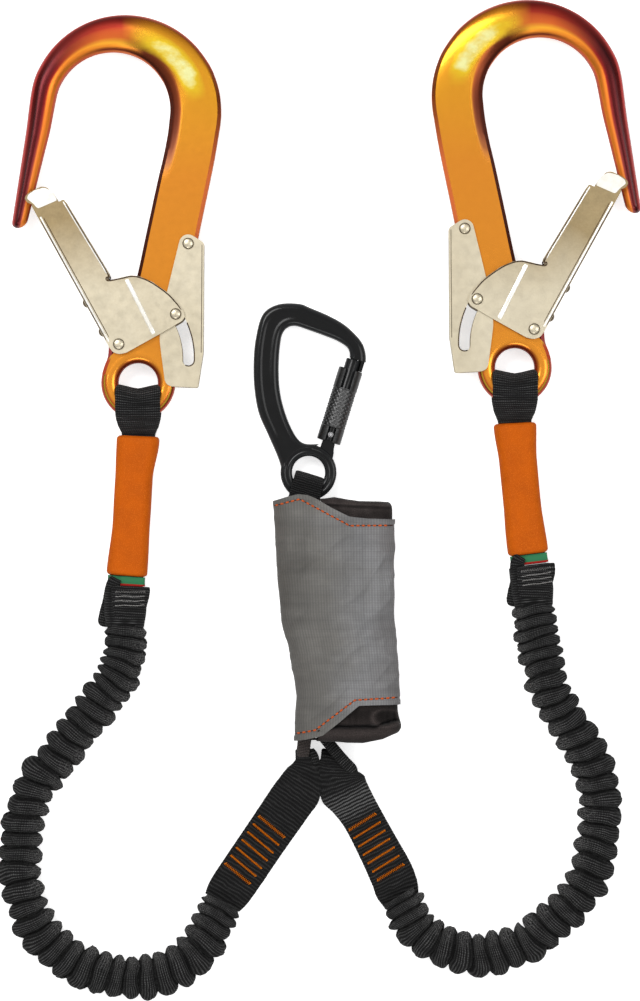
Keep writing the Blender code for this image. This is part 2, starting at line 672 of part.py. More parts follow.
def karabiner_body():
    """The forged body: a loft round the opening, a ring for the captive eye, and the tang of the gate."""
    nose_end = BARREL_TOP + 0.6
    edges = [
        (on_gate(nose_end, -3.0), on_gate(nose_end, 7.3)), ((24.6, 72.0), (34.2, 71.6)),
        ((23.0, 75.3), (31.6, 78.6)),
        ((17.5, 78.9), (23.1, 87.5)), ((10.5, 81.8), (13.5, 93.4)), ((-1.5, 86.1), (1.5, 98.6)),
        ((-8.0, 88.0), (-6.0, 101.3)), ((-12.8, 86.8), (-18.5, 100.8)), ((-15.9, 82.5), (-27.6, 94.6)),
        ((-17.3, 74.0), (-31.8, 79.5)), ((-17.9, 62.0), (-33.0, 64.5)), ((-17.3, 50.0), (-32.4, 49.5)),
        ((-15.0, 39.0), (-29.8, 35.5)), ((-11.2, 28.5), (-24.4, 23.0)), ((-6.8, 20.6), (-19.8, 12.6)),
        ((-2.0, 17.3), (-17.6, 7.0)), ((6.4, 17.1), (-16.4, 2.5)),
    ]
    rings = []
    for inner, outer in edges:
        a, b = karabiner_at(inner), karabiner_at(outer)
        across = unit(b[0] - a[0], b[1] - a[1])
        half = math.dist(a[:2], b[:2]) / 2.0
        rings.append([
            ((a[0] + b[0]) / 2.0 + across[0] * w, (a[1] + b[1]) / 2.0 + across[1] * w, KARABINER_HEIGHT + h)
            for w, h in section(half, KARABINER_HALF_THICKNESS, KARABINER_EDGE_RADIUS)
        ])
    body = loft("karabiner_body", rings, BLACK_METAL)
    band = (KARABINER_EYE_OUTER_RADIUS + KARABINER_EYE_HOLE_RADIUS) / 2.0
    low, high = KARABINER_HEIGHT - THROUGH, KARABINER_HEIGHT + THROUGH
    boolean(body, peg("karabiner_eye_bore", karabiner_at((0.0, 0.0)), band, low, high, 28))
    tang = [on_gate(*polar((0.0, 0.0), TANG_HALF_WIDTH, degrees)) for degrees in (90, 45, 0, -45, -90)]
    tang += [(6.8, 14.5), (5.2, 11.6), (13.4, 6.6), (14.8, 11.5)]
    thin = flat_solid(
        "tang_blade", [karabiner_at(p)[:2] for p in tang], KARABINER_HEIGHT - TANG_HALF_THICKNESS,
        KARABINER_HEIGHT + TANG_HALF_THICKNESS, None, collection=CUTTERS)
    boolean(body, thin, "UNION")
    neck = [(15.4, 13.4), (14.6, 8.4), (13.0, 6.2), (5.0, 11.8), (6.0, 15.2)]
    neck_half = 0.75 * KARABINER_HALF_THICKNESS
    boolean(body, flat_solid(
        "tang_neck", [karabiner_at(p)[:2] for p in neck], KARABINER_HEIGHT - neck_half,
        KARABINER_HEIGHT + neck_half, None, collection=CUTTERS), "UNION")
    profile = [(band + w, h) for w, h in reversed(section(
        (KARABINER_EYE_OUTER_RADIUS - KARABINER_EYE_HOLE_RADIUS) / 2.0, KARABINER_HALF_THICKNESS + 0.05,
        0.9 * KARABINER_EDGE_RADIUS))]
    ring = turned("karabiner_eye_ring", profile, 28, None, karabiner_at((0.0, 0.0)), collection=CUTTERS)
    boolean(body, ring, "UNION")
    wall_low = SLEEVE_TOP + 1.2
    wall = gate_box("nose_wall", (wall_low, nose_end + 1.5), (BARREL_RADIUS + 0.7, 7.2), (-3.4, 3.4))
    boolean(body, wall, "UNION")
    slot_top = BARREL_TOP + TONGUE_LENGTH + 1.0
    boolean(body, gate_box(
        "nose_slot", (BARREL_TOP, slot_top), (-15.0, TONGUE_HALF_WIDTH + 0.7),
        (-TONGUE_HALF_THICKNESS - 0.4, TONGUE_HALF_THICKNESS + 0.4)))
    boolean(body, peg("tang_hole", karabiner_at(KARABINER_PIN_AT), PIN_RADIUS + GAP, low, high, 12))
    return smooth(body)


def karabiner_gate():
    """The gate barrel with its fork at the pivot pin and its tongue at the nose."""
    chamfer = 0.6
    profile = [
        (0.0, BARREL_TOP), (BARREL_RADIUS - chamfer, BARREL_TOP), (BARREL_RADIUS, BARREL_TOP - chamfer),
        (BARREL_RADIUS, BARREL_BOTTOM), (0.0, BARREL_BOTTOM),
    ]
    pivot = karabiner_at(KARABINER_PIN_AT)
    made = bake(turned("karabiner_gate", profile, 20, BLACK_METAL, pivot, (*GATE_ALONG, 0.0)))
    fork = TANG_HALF_THICKNESS + GAP
    boolean(made, gate_box("gate_fork", (-20.0, BARREL_SHOULDER), (-20.0, 20.0), (-fork, fork)))
    boolean(made, gate_box(
        "gate_tongue", (BARREL_TOP - 2.0, BARREL_TOP + TONGUE_LENGTH),
        (-TONGUE_HALF_WIDTH, TONGUE_HALF_WIDTH), (-TONGUE_HALF_THICKNESS, TONGUE_HALF_THICKNESS)), "UNION")
    boolean(made, peg("gate_pin_hole", pivot, PIN_RADIUS + GAP, -THROUGH, THROUGH, 12))
    smooth(made)
    return set_origin(made, pivot)


def locking_sleeve():
    """The sleeve round the barrel, with a window at the pivot and a notch at the nose."""
    chamfer = 0.5
    guide_bore = BARREL_RADIUS + GAP
    profile = [
        (SLEEVE_RADIUS - chamfer, SLEEVE_TOP), (SLEEVE_RADIUS, SLEEVE_TOP - chamfer),
        (SLEEVE_RADIUS, SLEEVE_BOTTOM + chamfer), (SLEEVE_RADIUS - chamfer, SLEEVE_BOTTOM),
        (SLEEVE_BORE_RADIUS, SLEEVE_BOTTOM), (SLEEVE_BORE_RADIUS, SLEEVE_SHOULDER),
        (guide_bore, SLEEVE_SHOULDER), (guide_bore, SLEEVE_TOP),
    ]
    pivot = karabiner_at(KARABINER_PIN_AT)
    made = bake(turned("locking_sleeve", profile, 28, BLACK_METAL, pivot, (*GATE_ALONG, 0.0)))
    half_window, half_notch = SLEEVE_WINDOW_WIDTH / 2.0, SLEEVE_NOTCH_WIDTH / 2.0
    boolean(made, gate_box(
        "sleeve_window", (SLEEVE_BOTTOM - 5.0, 4.4), (-half_window, half_window), (-20.0, 20.0)))
    boolean(made, gate_box(
        "sleeve_notch", (SLEEVE_TOP - SLEEVE_NOTCH_DEPTH, SLEEVE_TOP + 5.0), (-half_notch, half_notch),
        (2.5, 20.0)))
    smooth(made)
    return set_origin(made, pivot)


def sleeve_spring():
    """The coil between barrel and sleeve, clear of itself and of both."""
    mean = (BARREL_RADIUS + SLEEVE_BORE_RADIUS) / 2.0
    low, high = 8.0, SLEEVE_SHOULDER - 1.0
    steps = 8 * SLEEVE_SPRING_TURNS
    points = []
    for k in range(steps + 1):
        angle = math.radians(45.0 * k)
        plane_point = on_gate(mix(low, high, k / steps), mean * math.cos(angle))
        points.append(karabiner_at(plane_point, mean * math.sin(angle)))
    least = min(
        math.dist(p, q) for i, p in enumerate(points) for q in points[i + 5:]
    ) - 2.0 * SLEEVE_SPRING_WIRE_RADIUS
    print(f"sleeve spring: least gap to itself {least:.2f} mm")
    return wire("sleeve_spring", points, SLEEVE_SPRING_WIRE_RADIUS, SPRING_STEEL)


def karabiner():
    """The karabiner with its captive eye."""
    karabiner_body()
    karabiner_gate()
    locking_sleeve()
    sleeve_spring()
    half = math.sqrt(BARREL_RADIUS ** 2 - PIN_RADIUS ** 2) - 0.1
    profile = [(0.0, half), (PIN_RADIUS, half), (PIN_RADIUS, -half), (0.0, -half)]
    smooth(bake(turned("karabiner_pivot_pin", profile, 12, STEEL, karabiner_at(KARABINER_PIN_AT))))


def strap_ring(x, y, z, across, up, width, thickness):
    """The four corners of a strap's section."""
    return [
        tuple(c + a * width * i + u * thickness * j for c, a, u in zip((x, y, z), across, up))
        for i, j in ((0.5, 0.5), (-0.5, 0.5), (-0.5, -0.5), (0.5, -0.5))
    ]


def strap_loop(name, stations, thickness, reach, surface, pinch=0.0):
    """A strap folded round something: two plies along the stations and a round fold before the first.

    A station is (x, y, height, half gap between the plies, width, direction of its width).
    Pinch is the share of the width that the fold loses at its tip.
    """
    rings = []
    steps = 6

    def ply(station, sign):
        x, y, z, half_gap, width, (ax, ay) = station
        height = z + sign * (half_gap + thickness / 2.0)
        return strap_ring(x, y, height, (ax, ay, 0.0), (0.0, 0.0, sign), width, thickness)

    for station in reversed(stations):
        rings.append(ply(station, 1))
    x, y, z, half_gap, width, (ax, ay) = stations[0]
    ahead = (-ay, ax) if ax > 0 else (ay, -ax)
    radius = half_gap + thickness / 2.0
    for k in range(1, steps):
        angle = math.radians(90.0 - 180.0 * k / steps)
        forward, rise = math.cos(angle), math.sin(angle)
        stretch = reach * half_gap + thickness / 2.0
        place = (x + ahead[0] * stretch * forward, y + ahead[1] * stretch * forward, z + radius * rise)
        rings.append(strap_ring(
            *place, (ax, ay, 0.0), (ahead[0] * forward, ahead[1] * forward, rise),
            width * (1.0 - pinch * max(0.0, 2.0 * forward - 1.0)), thickness))
    for station in stations:
        rings.append(ply(station, -1))
    return loft(name, rings, surface)


class Stem:
    """The line of the stem that runs from a hook's eye through the grip to the cuff."""

    def __init__(self, points):
        self.line = catmull(points, 2.0)

    def at(self, y):
        """The point where the line passes a world Y, and its direction across."""
        for before, after in zip(self.line, self.line[1:]):
            if before[1] >= y >= after[1]:
                share = (before[1] - y) / (before[1] - after[1])
                along = unit(after[0] - before[0], after[1] - before[1])
                return mix(before, after, share), (-along[1], along[0])
        last = self.line[-1]
        along = unit(last[0] - self.line[-2][0], last[1] - self.line[-2][1])
        return last, (-along[1], along[0])

    def ring(self, y, z, half_width, half_thickness, corner, arc_steps=2):
        """A rounded section square to the line."""
        (x, y), (ax, ay) = self.at(y)
        points = section(half_width, half_thickness, corner, arc_steps)
        return [(x + ax * w, y + ay * w, z + h) for w, h in points]


def leg(prefix, side, stem_offsets, grip):
    """The webbing loop, grip sleeve, label and cuff of one leg; returns where its arm starts."""
    eye_x, eye_y = HookPlane(side).at(EYE_CENTRE)[:2]
    stem_points = [(eye_x + x, eye_y + y) for x, y in stem_offsets]
    sleeve_ends, label_ends, cuff_ends = (
        tuple(eye_y + y for y in grip[piece]) for piece in ("sleeve", "label", "cuff"))
    stem = Stem(stem_points)
    grip_height = SLEEVE_HALF_THICKNESS + 0.1
    fold_y = stem_points[0][1]
    neck_y = sleeve_ends[0] + GAP
    stations = []
    for below, half_gap, width, drop in (
        (0.0, 8.3, 1.0, 0.0), (0.34, 7.0, 1.0, 0.0), (0.53, 4.7, 0.97, 0.05), (0.72, 2.7, 0.9, 0.4),
        (0.87, 0.9, 0.8, 0.85), (1.0, PLY_GAP / 2.0, STEM_WIDTH / LOOP_WIDTH, 1.0),
    ):
        (x, y), across = stem.at(mix(fold_y, neck_y, below))
        stations.append((x, y, mix(HOOK_HEIGHT, grip_height, drop), half_gap, LOOP_WIDTH * width, across))
    steps = 8
    for k in range(1, steps + 1):
        (x, y), across = stem.at(mix(neck_y, cuff_ends[0] + GAP, k / steps))
        stations.append((x, y, grip_height, PLY_GAP / 2.0, STEM_WIDTH, across))
    strap_loop(prefix + "hook_loop", stations, WEBBING, 1.0, BLACK_WEBBING, EYE_FOLD_PINCH)

    bore_half_width = STEM_WIDTH / 2.0 + GAP
    bore_half_thickness = WEBBING + PLY_GAP / 2.0 + GAP
    high, low = sleeve_ends
    rows = [(high, 1.2), (high - 1.5, 0.0)] + [(mix(high, low, k / 4.0), 0.0) for k in range(1, 4)]
    rows += [(low + 1.5, 0.0), (low, 1.2)]
    sleeve = loft(
        prefix + "grip_sleeve",
        [stem.ring(y, grip_height, SLEEVE_HALF_WIDTH - trim, SLEEVE_HALF_THICKNESS - trim, 6.0, 3)
         for y, trim in rows],
        ORANGE_SLEEVE,
        inner=[stem.ring(y, grip_height, bore_half_width, bore_half_thickness, 0.6, 3) for y, _ in rows],
    )
    smooth(sleeve)
    loft(
        prefix + "label",
        [stem.ring(
            y, grip_height, bore_half_width + LABEL_THICKNESS, bore_half_thickness + LABEL_THICKNESS, 1.2)
         for y in label_ends],
        GREEN_LABEL,
        inner=[stem.ring(y, grip_height, bore_half_width, bore_half_thickness, 0.6) for y in label_ends],
    )
    high, low = cuff_ends
    rows = [(high, 1.0), (high - 1.5, 0.0), ((high + low) / 2.0, 0.0), (low, 0.0)]
    smooth(loft(
        prefix + "cuff",
        [stem.ring(y, ARM_HALF_THICKNESS, CUFF_HALF_WIDTH - trim, CUFF_HALF_THICKNESS - trim, 4.0)
         for y, trim in rows],
        BLACK_WEBBING,
    ))
    return stem_points[-1][0], cuff_ends[1] - CUFF_TO_ARM


def follow(route, start):
    """The route moved to a new start, with less and less of the move towards its other end."""
    shift_x, shift_y = start[0] - route[0][0], start[1] - route[0][1]
    last = len(route) - 1
    return [
        (x + shift_x * (1.0 - k / last), y + shift_y * (1.0 - k / last)) for k, (x, y) in enumerate(route)
    ]


def elastic_arm(name, route):
    """A gathered elastic tube on the ground: an oval section whose width swells at each ruffle."""
    line = catmull(route, RUFFLE_PITCH / 2.0)
    walked = [0.0]
    for p, q in zip(line, line[1:]):
        walked.append(walked[-1] + math.dist(p, q))
    curve = bpy.data.curves.new(name, "CURVE")
    curve.dimensions = "3D"
    curve.twist_mode = "Z_UP"
    curve.bevel_depth = ARM_HALF_WIDTH * MM
    curve.bevel_resolution = 2
    curve.use_fill_caps = True
    spline = curve.splines.new("POLY")
    spline.points.add(len(line) - 1)
    for k, (point, place) in enumerate(zip(spline.points, line)):
        point.co = (place[0] * MM, place[1] * MM, 0.0, 1.0)
        plain = min(walked[k], walked[-1] - walked[k]) < ARM_PLAIN_END
        point.radius = 1.0 if plain or k % 2 else ARM_VALLEY_HALF_WIDTH / ARM_HALF_WIDTH
    drawn = bpy.data.objects.new(name + "_line", curve)
    drawn.scale.z = ARM_HALF_THICKNESS / ARM_HALF_WIDTH
    drawn.location.z = (ARM_HALF_THICKNESS + 0.1) * MM
    PARTS.objects.link(drawn)
    print(f"{name}: {walked[-1]:.0f} mm long")
    return smooth(curve_to_mesh(name, drawn, BLACK_WEBBING), 70.0)


STRAP_HEIGHT = GAP + WEBBING + FOLD_HALF_GAP


def arm_loop(name, route, stations):
    """The flat loop round the tie strap, from its fold to the end of the elastic arm."""
    end, before = route[-1], route[-2]
    along = unit(end[0] - before[0], end[1] - before[1])
    last = (end[0] + along[0] * GAP, end[1] + along[1] * GAP)
    across = (along[1], -along[0])
    full = []
    for x, y, half_gap, width, direction in stations:
        full.append((x, y, STRAP_HEIGHT, half_gap, width, unit(*direction)))
    full.append((*last, STRAP_HEIGHT, PLY_GAP / 2.0, 0.92 * ARM_LOOP_WIDTH, across))
    return strap_loop(name, full, WEBBING, FOLD_REACH, BLACK_WEBBING)


def tie_strap():
    """The lower end of the tear webbing: down, through both arm loops, and up again."""
    bight = TIE_BIGHT_WIDTH
    low = STRAP_HEIGHT
    rows = [
        (-11.0, -63.6, 15.0, 7.0), (-12.0, -68.0, 14.5, 7.0), (-14.0, -76.0, 11.5, 6.0),
        (-15.0, -83.0, 7.0, 5.0),
        (-14.6, -87.4, low + 0.3, bight), (-12.9, -90.3, low, bight), (-10.4, -91.2, low, bight),
        (-4.0, -91.4, low, bight), (4.0, -91.4, low, bight), (13.5, -91.4, low, bight),
        (17.6, -90.6, low, bight), (20.2, -88.4, low, bight), (20.0, -85.0, low + 1.0, 5.0),
        (15.6, -80.6, 9.5, 6.0), (8.0, -75.6, 13.5, 7.0),
        (2.2, -70.0, 14.8, 7.0), (0.0, -64.6, 15.0, 7.0),
    ]
    rings = []
    for k, (x, y, z, width) in enumerate(rows):
        before, after = rows[max(k - 1, 0)], rows[min(k + 1, len(rows) - 1)]
        tangent = Vector((after[0] - before[0], after[1] - before[1], after[2] - before[2])).normalized()
        across = Vector((-tangent.y, tangent.x, 0.0)).normalized()
        up = tangent.cross(across)
        rings.append(strap_ring(x, y, z, across, up, width, TIE_THICKNESS))
    return loft("tie_strap", rings, BROWN_STRAP)


# The cover's left and right edges at rows across the pack, as (y, left, right)
PACK_EDGES = [
    (90.0, -33.0, 41.2), (68.4, -31.8, 40.9), (29.4, -29.5, 40.3), (0.6, -27.3, 40.4), (-22.0, -22.0, 42.3),
    (-47.4, -17.7, 43.9), (-72.6, -19.2, 43.9), (-90.0, -19.8, 43.9),
]
COVER_OUTLINE = [
    (-60.0, 62.0), (-31.8, 68.4), (-17.4, 72.4), (-7.1, 70.1), (13.5, 59.2), (40.9, 57.5), (70.0, 56.5),
    (70.0, -53.0), (43.9, -52.8), (19.3, -53.3), (-2.5, -71.1), (-18.6, -74.5), (-60.0, -80.0),
]


def pack_ring(y, inset, squeeze=0.0):
    """A section across the pack, inset from the cover's outside."""
    for (y1, left1, right1), (y0, left0, right0) in zip(PACK_EDGES, PACK_EDGES[1:]):
        if y1 >= y >= y0:
            share = (y1 - y) / (y1 - y0)
            left, right = mix(left1, left0, share), mix(right1, right0, share)
            break
    left, right = left + inset + squeeze, right - inset - squeeze
    half_thickness = PACK_THICKNESS / 2.0 - inset - squeeze
    return [
        ((left + right) / 2.0 + w, y, PACK_THICKNESS / 2.0 + h)
        for w, h in section((right - left) / 2.0, half_thickness, max(1.0, PACK_CORNER - inset))
    ]


def block(name, x, y, z):
    """A cutter box from low to high in each direction."""
    outline = [(x[0], y[0]), (x[1], y[0]), (x[1], y[1]), (x[0], y[1])]
    return flat_solid(name, outline, z[0], z[1], None, collection=CUTTERS)


def absorber():
    """The folded tear webbing in its pouch, and the wrap cover round both."""
    rows = [row[0] for row in PACK_EDGES[1:-1]]
    cover_rows = [80.0, *rows, -85.0]
    cover = loft(
        "absorber_cover", [pack_ring(y, 0.0) for y in cover_rows], GREY_FABRIC,
        inner=[pack_ring(y, COVER_WALL) for y in cover_rows])
    boolean(cover, flat_solid(
        "cover_edges", COVER_OUTLINE, -THROUGH, THROUGH, None, collection=CUTTERS), "INTERSECT")
    boolean(cover, block("back_edge", (-60.0, 0.0), (64.0, 90.0), (-10.0, PACK_THICKNESS / 2.0)))
    smooth(cover)

    outside = COVER_WALL + GAP
    inside = outside + POUCH_WALL
    middle_rows = rows[1:-1]
    pouch_rows = [(70.0, 4.5), (67.5, 1.0), (62.0, 0.0)] + [(y, 0.0) for y in middle_rows]
    pouch_rows += [(-53.0, 0.0), (-66.0, 0.0), (-72.5, 1.5), (-75.5, 5.5)]
    pouch_rings = [pack_ring(y, outside, squeeze) for y, squeeze in pouch_rows]
    pouch = loft("absorber_pouch", pouch_rings, BLACK_FABRIC)
    hollow = loft(
        "pouch_hollow", [pack_ring(y, inside) for y in (64.0, *middle_rows, -70.0)], None,
        collection=CUTTERS)
    boolean(pouch, hollow)
    boolean(pouch, block("upper_mouth", (-60.0, -3.0), (60.0, 90.0), (-10.0, 60.0)))
    boolean(pouch, block("ring_room", (-4.0, 7.0), (62.0, 90.0), (-10.0, PACK_THICKNESS / 2.0)))
    boolean(pouch, block("lower_mouth", (-60.0, 15.0), (-90.0, -66.0), (-10.0, 60.0)))
    smooth(pouch)

    core = inside + GAP
    smooth(loft("tear_webbing", [pack_ring(y, core) for y in (58.0, *middle_rows, -62.2)], BLACK_WEBBING))


def karabiner_loop():
    """The upper end of the tear webbing, folded through the karabiner's eye."""
    centre_x, centre_y = KARABINER_AT
    ring_low = centre_y - KARABINER_EYE_HOLE_RADIUS
    clear = KARABINER_HALF_THICKNESS + 0.1 + GAP
    across = unit(0.966, -0.2)
    stations = [
        (centre_x - 0.7, ring_low + 2.4, KARABINER_HEIGHT, clear, KARABINER_LOOP_WIDTH - 3.0, across),
        (centre_x - 2.4, ring_low - 5.6, KARABINER_HEIGHT, clear, KARABINER_LOOP_WIDTH - 1.0, across),
        (centre_x - 3.2, ring_low - 10.0, KARABINER_HEIGHT + 2.4, 3.4, KARABINER_LOOP_WIDTH, across),
        (centre_x - 3.8, ring_low - 14.0, KARABINER_HEIGHT + 6.0, 1.4, KARABINER_LOOP_WIDTH, (1.0, 0.0)),
        (
            centre_x - 3.9, 58.0 + GAP, KARABINER_HEIGHT + 8.0, PLY_GAP / 2.0, KARABINER_LOOP_WIDTH,
            (1.0, 0.0)),
    ]
    strap_loop("karabiner_loop", stations, KARABINER_LOOP_PLY, 1.0, BLACK_WEBBING)


def main():
    hook("left_", -1)
    hook("right_", 1)
    karabiner()
    karabiner_loop()
    absorber()
    tie_strap()
    left_route = follow(LEFT_ARM_ROUTE, leg("left_", -1, LEFT_STEM, LEFT_GRIP))
    right_route = follow(RIGHT_ARM_ROUTE, leg("right_", 1, RIGHT_STEM, RIGHT_GRIP))
    arm_loop("left_arm_loop", left_route, [
        (-7.0, -91.2, FOLD_HALF_GAP, 7.6, (1.0, -0.04)), (-9.0, -96.0, FOLD_HALF_GAP, 12.0, (0.97, -0.2)),
        (-13.0, -103.0, 1.2, 20.0, (0.9, -0.44)), (-20.0, -112.5, PLY_GAP / 2.0, 26.5, (0.84, -0.54)),
        (-32.9, -128.0, PLY_GAP / 2.0, ARM_LOOP_WIDTH, (0.81, -0.59)),
        (-53.4, -156.5, PLY_GAP / 2.0, ARM_LOOP_WIDTH, (0.84, -0.54)),
    ])
    arm_loop("right_arm_loop", right_route, [
        (6.4, -91.2, FOLD_HALF_GAP, 16.0, (1.0, 0.0)), (8.2, -97.0, FOLD_HALF_GAP, 20.0, (1.0, 0.03)),
        (11.4, -104.0, 1.2, 25.0, (0.99, 0.12)), (16.4, -115.0, PLY_GAP / 2.0, ARM_LOOP_WIDTH, (0.93, 0.36)),
        (26.0, -133.5, PLY_GAP / 2.0, ARM_LOOP_WIDTH, (0.86, 0.51)),
        (36.0, -152.0, PLY_GAP / 2.0, ARM_LOOP_WIDTH, (0.87, 0.49)),
    ])
    elastic_arm("left_elastic_arm", left_route)
    elastic_arm("right_elastic_arm", right_route)


main()
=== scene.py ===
"""A twin-leg energy-absorbing lanyard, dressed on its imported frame.

Lengths in this file are in millimetres and MM turns them into metres. The
origin is on the ground under the middle of the absorber, +Y runs towards the
hooks and +Z up from the ground.
"""

import math

import bmesh
import bpy
from mathutils import Matrix, Vector, noise


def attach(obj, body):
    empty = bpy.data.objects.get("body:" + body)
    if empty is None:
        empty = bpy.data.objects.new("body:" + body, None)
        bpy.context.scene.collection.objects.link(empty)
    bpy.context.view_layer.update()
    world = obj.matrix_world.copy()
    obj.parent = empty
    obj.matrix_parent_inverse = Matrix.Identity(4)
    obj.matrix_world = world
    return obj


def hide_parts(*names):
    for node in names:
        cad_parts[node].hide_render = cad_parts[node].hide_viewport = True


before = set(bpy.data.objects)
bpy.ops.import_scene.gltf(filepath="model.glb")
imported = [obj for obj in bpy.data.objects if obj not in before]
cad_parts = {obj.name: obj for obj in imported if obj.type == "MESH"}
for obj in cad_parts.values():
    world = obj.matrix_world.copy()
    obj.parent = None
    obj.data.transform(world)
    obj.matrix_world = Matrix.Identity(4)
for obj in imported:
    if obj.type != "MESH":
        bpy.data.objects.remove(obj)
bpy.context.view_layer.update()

MM = 0.001
# The elastic arms' strap coordinates: one gather, and once round, in mm
LOBE_PITCH = 9.2
ARM_AROUND = 62.0
# Where the hooks' own planes lie, and the eye in them
HOOK_OFFSET_X = 120.57
HOOK_LEFT_Y = 302.1
HOOK_RIGHT_RISE = 9.0
EYE_CENTRE = (7.8, -162.9)
EYE_OUTER = 22.2


# Camera: straight down, with the hooks at the top of the picture

LENS = 150.0
PICTURE_HEIGHT = 600.6
FOCUS_HEIGHT = 9.0
CAMERA_AT = (-3.87, 68.7)


def make_camera():
    data = bpy.data.cameras.new("camera")
    data.lens = LENS
    data.clip_end = 20.0
    camera = bpy.data.objects.new("camera", data)
    bpy.context.scene.collection.objects.link(camera)
    distance = PICTURE_HEIGHT * LENS / data.sensor_width + FOCUS_HEIGHT
    camera.location = (CAMERA_AT[0] * MM, CAMERA_AT[1] * MM, distance * MM)
    bpy.context.scene.camera = camera


make_camera()


# Small helpers

SIDES = {-1: "left_", 1: "right_"}
FACES = {1: "front", -1: "back"}


def unit(x, y):
    length = math.hypot(x, y)
    return (x / length, y / length)


def heading(line, k):
    """The unit vector along a plane line at its point k."""
    before, after = line[max(k - 1, 0)], line[min(k + 1, len(line) - 1)]
    return unit(after[0] - before[0], after[1] - before[1])


def mix(a, b, share):
    if isinstance(a, (tuple, list)):
        return tuple(p + (q - p) * share for p, q in zip(a, b))
    return a + (b - a) * share


def polar(centre, radius, degrees):
    angle = math.radians(degrees)
    return (centre[0] + radius * math.cos(angle), centre[1] + radius * math.sin(angle))


def turn_about(point, centre, degrees):
    angle = math.radians(degrees)
    dx, dy = point[0] - centre[0], point[1] - centre[1]
    return (
        centre[0] + dx * math.cos(angle) - dy * math.sin(angle),
        centre[1] + dx * math.sin(angle) + dy * math.cos(angle),
    )


def on_photo(px, py):
    """The ground point in mm of a point of the 640 x 1001 picture."""
    return ((px - 326.45) * 0.6, (615.0 - py) * 0.6)


def catmull(points, spacing):
    """Points about a spacing apart along a smooth curve through points of any dimension."""
    padded = [points[0], *points, points[-1]]
    found = []
    for a, b, c, d in zip(padded, padded[1:], padded[2:], padded[3:]):
        count = max(1, round(math.dist(b, c) * 8.0 / spacing))
        for k in range(count):
            t = k / count
            found.append(tuple(
                0.5 * (2 * q + (r - p) * t + (2 * p - 5 * q + 4 * r - s) * t * t + (3 * q - p - 3 * r + s) * t ** 3)
                for p, q, r, s in zip(a, b, c, d)
            ))
    found.append(tuple(points[-1]))
    total = sum(math.dist(p, q) for p, q in zip(found, found[1:]))
    wanted = max(2, round(total / spacing))
    even, walked, index = [found[0]], 0.0, 0
    for k in range(1, wanted):
        target = total * k / wanted
        while walked + math.dist(found[index], found[index + 1]) < target:
            walked += math.dist(found[index], found[index + 1])
            index += 1
        share = (target - walked) / max(1e-9, math.dist(found[index], found[index + 1]))
        even.append(mix(found[index], found[index + 1], share))
    even.append(found[-1])
    return even


def ramp(x, x0, x1):
    """0 before x0, 1 after x1, smooth between."""
    t = min(1.0, max(0.0, (x - x0) / (x1 - x0)))
    return t * t * (3.0 - 2.0 * t)


def wobble(x, y, z, seed=0.0):
    """Smooth noise about -1 to 1, at a scale of 1."""
    return noise.noise(Vector((x + 31.7 * seed, y - 17.3 * seed, z + 7.1 * seed)))


def cloth_noise(x, y, z, octaves=3, seed=0.0):
    return noise.fractal(
        Vector((x + 13.1 * seed, y + 5.7 * seed, z)), 0.8, 2.1, octaves, noise_basis="PERLIN_ORIGINAL")


def shaded(made, degrees=40.0):
    made.data.shade_smooth()
    made.data.set_sharp_from_angle(angle=math.radians(degrees))
    return made


def link(name, mesh, surface=None):
    made = bpy.data.objects.new(name, mesh)
    bpy.context.scene.collection.objects.link(made)
    if surface:
        mesh.materials.append(surface)
    return made


def finish_mesh(name, bm, surface=None):
    bmesh.ops.recalc_face_normals(bm, faces=bm.faces)
    mesh = bpy.data.meshes.new(name)
    bm.to_mesh(mesh)
    bm.free()
    return link(name, mesh, surface)


def loft(name, rings, surface=None, closed=True, inner=None, place=None):
    """Join rings of points in mm. Inner rings bore it through, and an open ring makes a sheet.

    place(i, k) gives the strap coordinates of column k of ring i, in mm across and along.
    """
    bm = bmesh.new()
    layer = place and bm.loops.layers.uv.new("strap")

    def face(verts, corners):
        made = bm.faces.new(verts)
        if place:
            for loop, corner in zip(made.loops, corners):
                loop[layer].uv = place(*corner)

    def skin(loops):
        verts = [[bm.verts.new(Vector(p) * MM) for p in loop] for loop in loops]
        count = len(verts[0])
        for i, (low, high) in enumerate(zip(verts, verts[1:])):
            for k in range(count if closed else count - 1):
                n = (k + 1) % count
                face((low[k], low[n], high[n], high[k]), ((i, k), (i, k + 1), (i + 1, k + 1), (i + 1, k)))
        return verts

    outer = skin(rings)
    bores = inner and skin(inner)
    for i in (0, len(rings) - 1):
        count = len(rings[i])
        if inner:
            for k in range(count):
                n = (k + 1) % count
                face((outer[i][k], outer[i][n], bores[i][n], bores[i][k]), ((i, k), (i, k + 1), (i, k + 1), (i, k)))
        elif closed:
            face(outer[i], [(i, k) for k in range(count)])
    return finish_mesh(name, bm, surface)


def section(half_width, half_thickness, corner, arc_steps=6):
    """A rounded rectangle as (across, up) points."""
    corner = min(corner, 0.995 * half_width, 0.995 * half_thickness)
    points = []
    for quarter, (sx, sy) in enumerate(((1, 1), (-1, 1), (-1, -1), (1, -1))):
        for k in range(arc_steps + 1):
            angle = math.radians(90.0 * quarter + 90.0 * k / arc_steps)
            points.append((
                sx * (half_width - corner) + corner * math.cos(angle),
                sy * (half_thickness - corner) + corner * math.sin(angle),
            ))
    return points


def ring_between(a, b, points, height):
    """Section points laid across from a to b, about a height."""
    across = unit(b[0] - a[0], b[1] - a[1])
    x, y = (a[0] + b[0]) / 2.0, (a[1] + b[1]) / 2.0
    return [(x + across[0] * w, y + across[1] * w, height + h) for w, h in points]


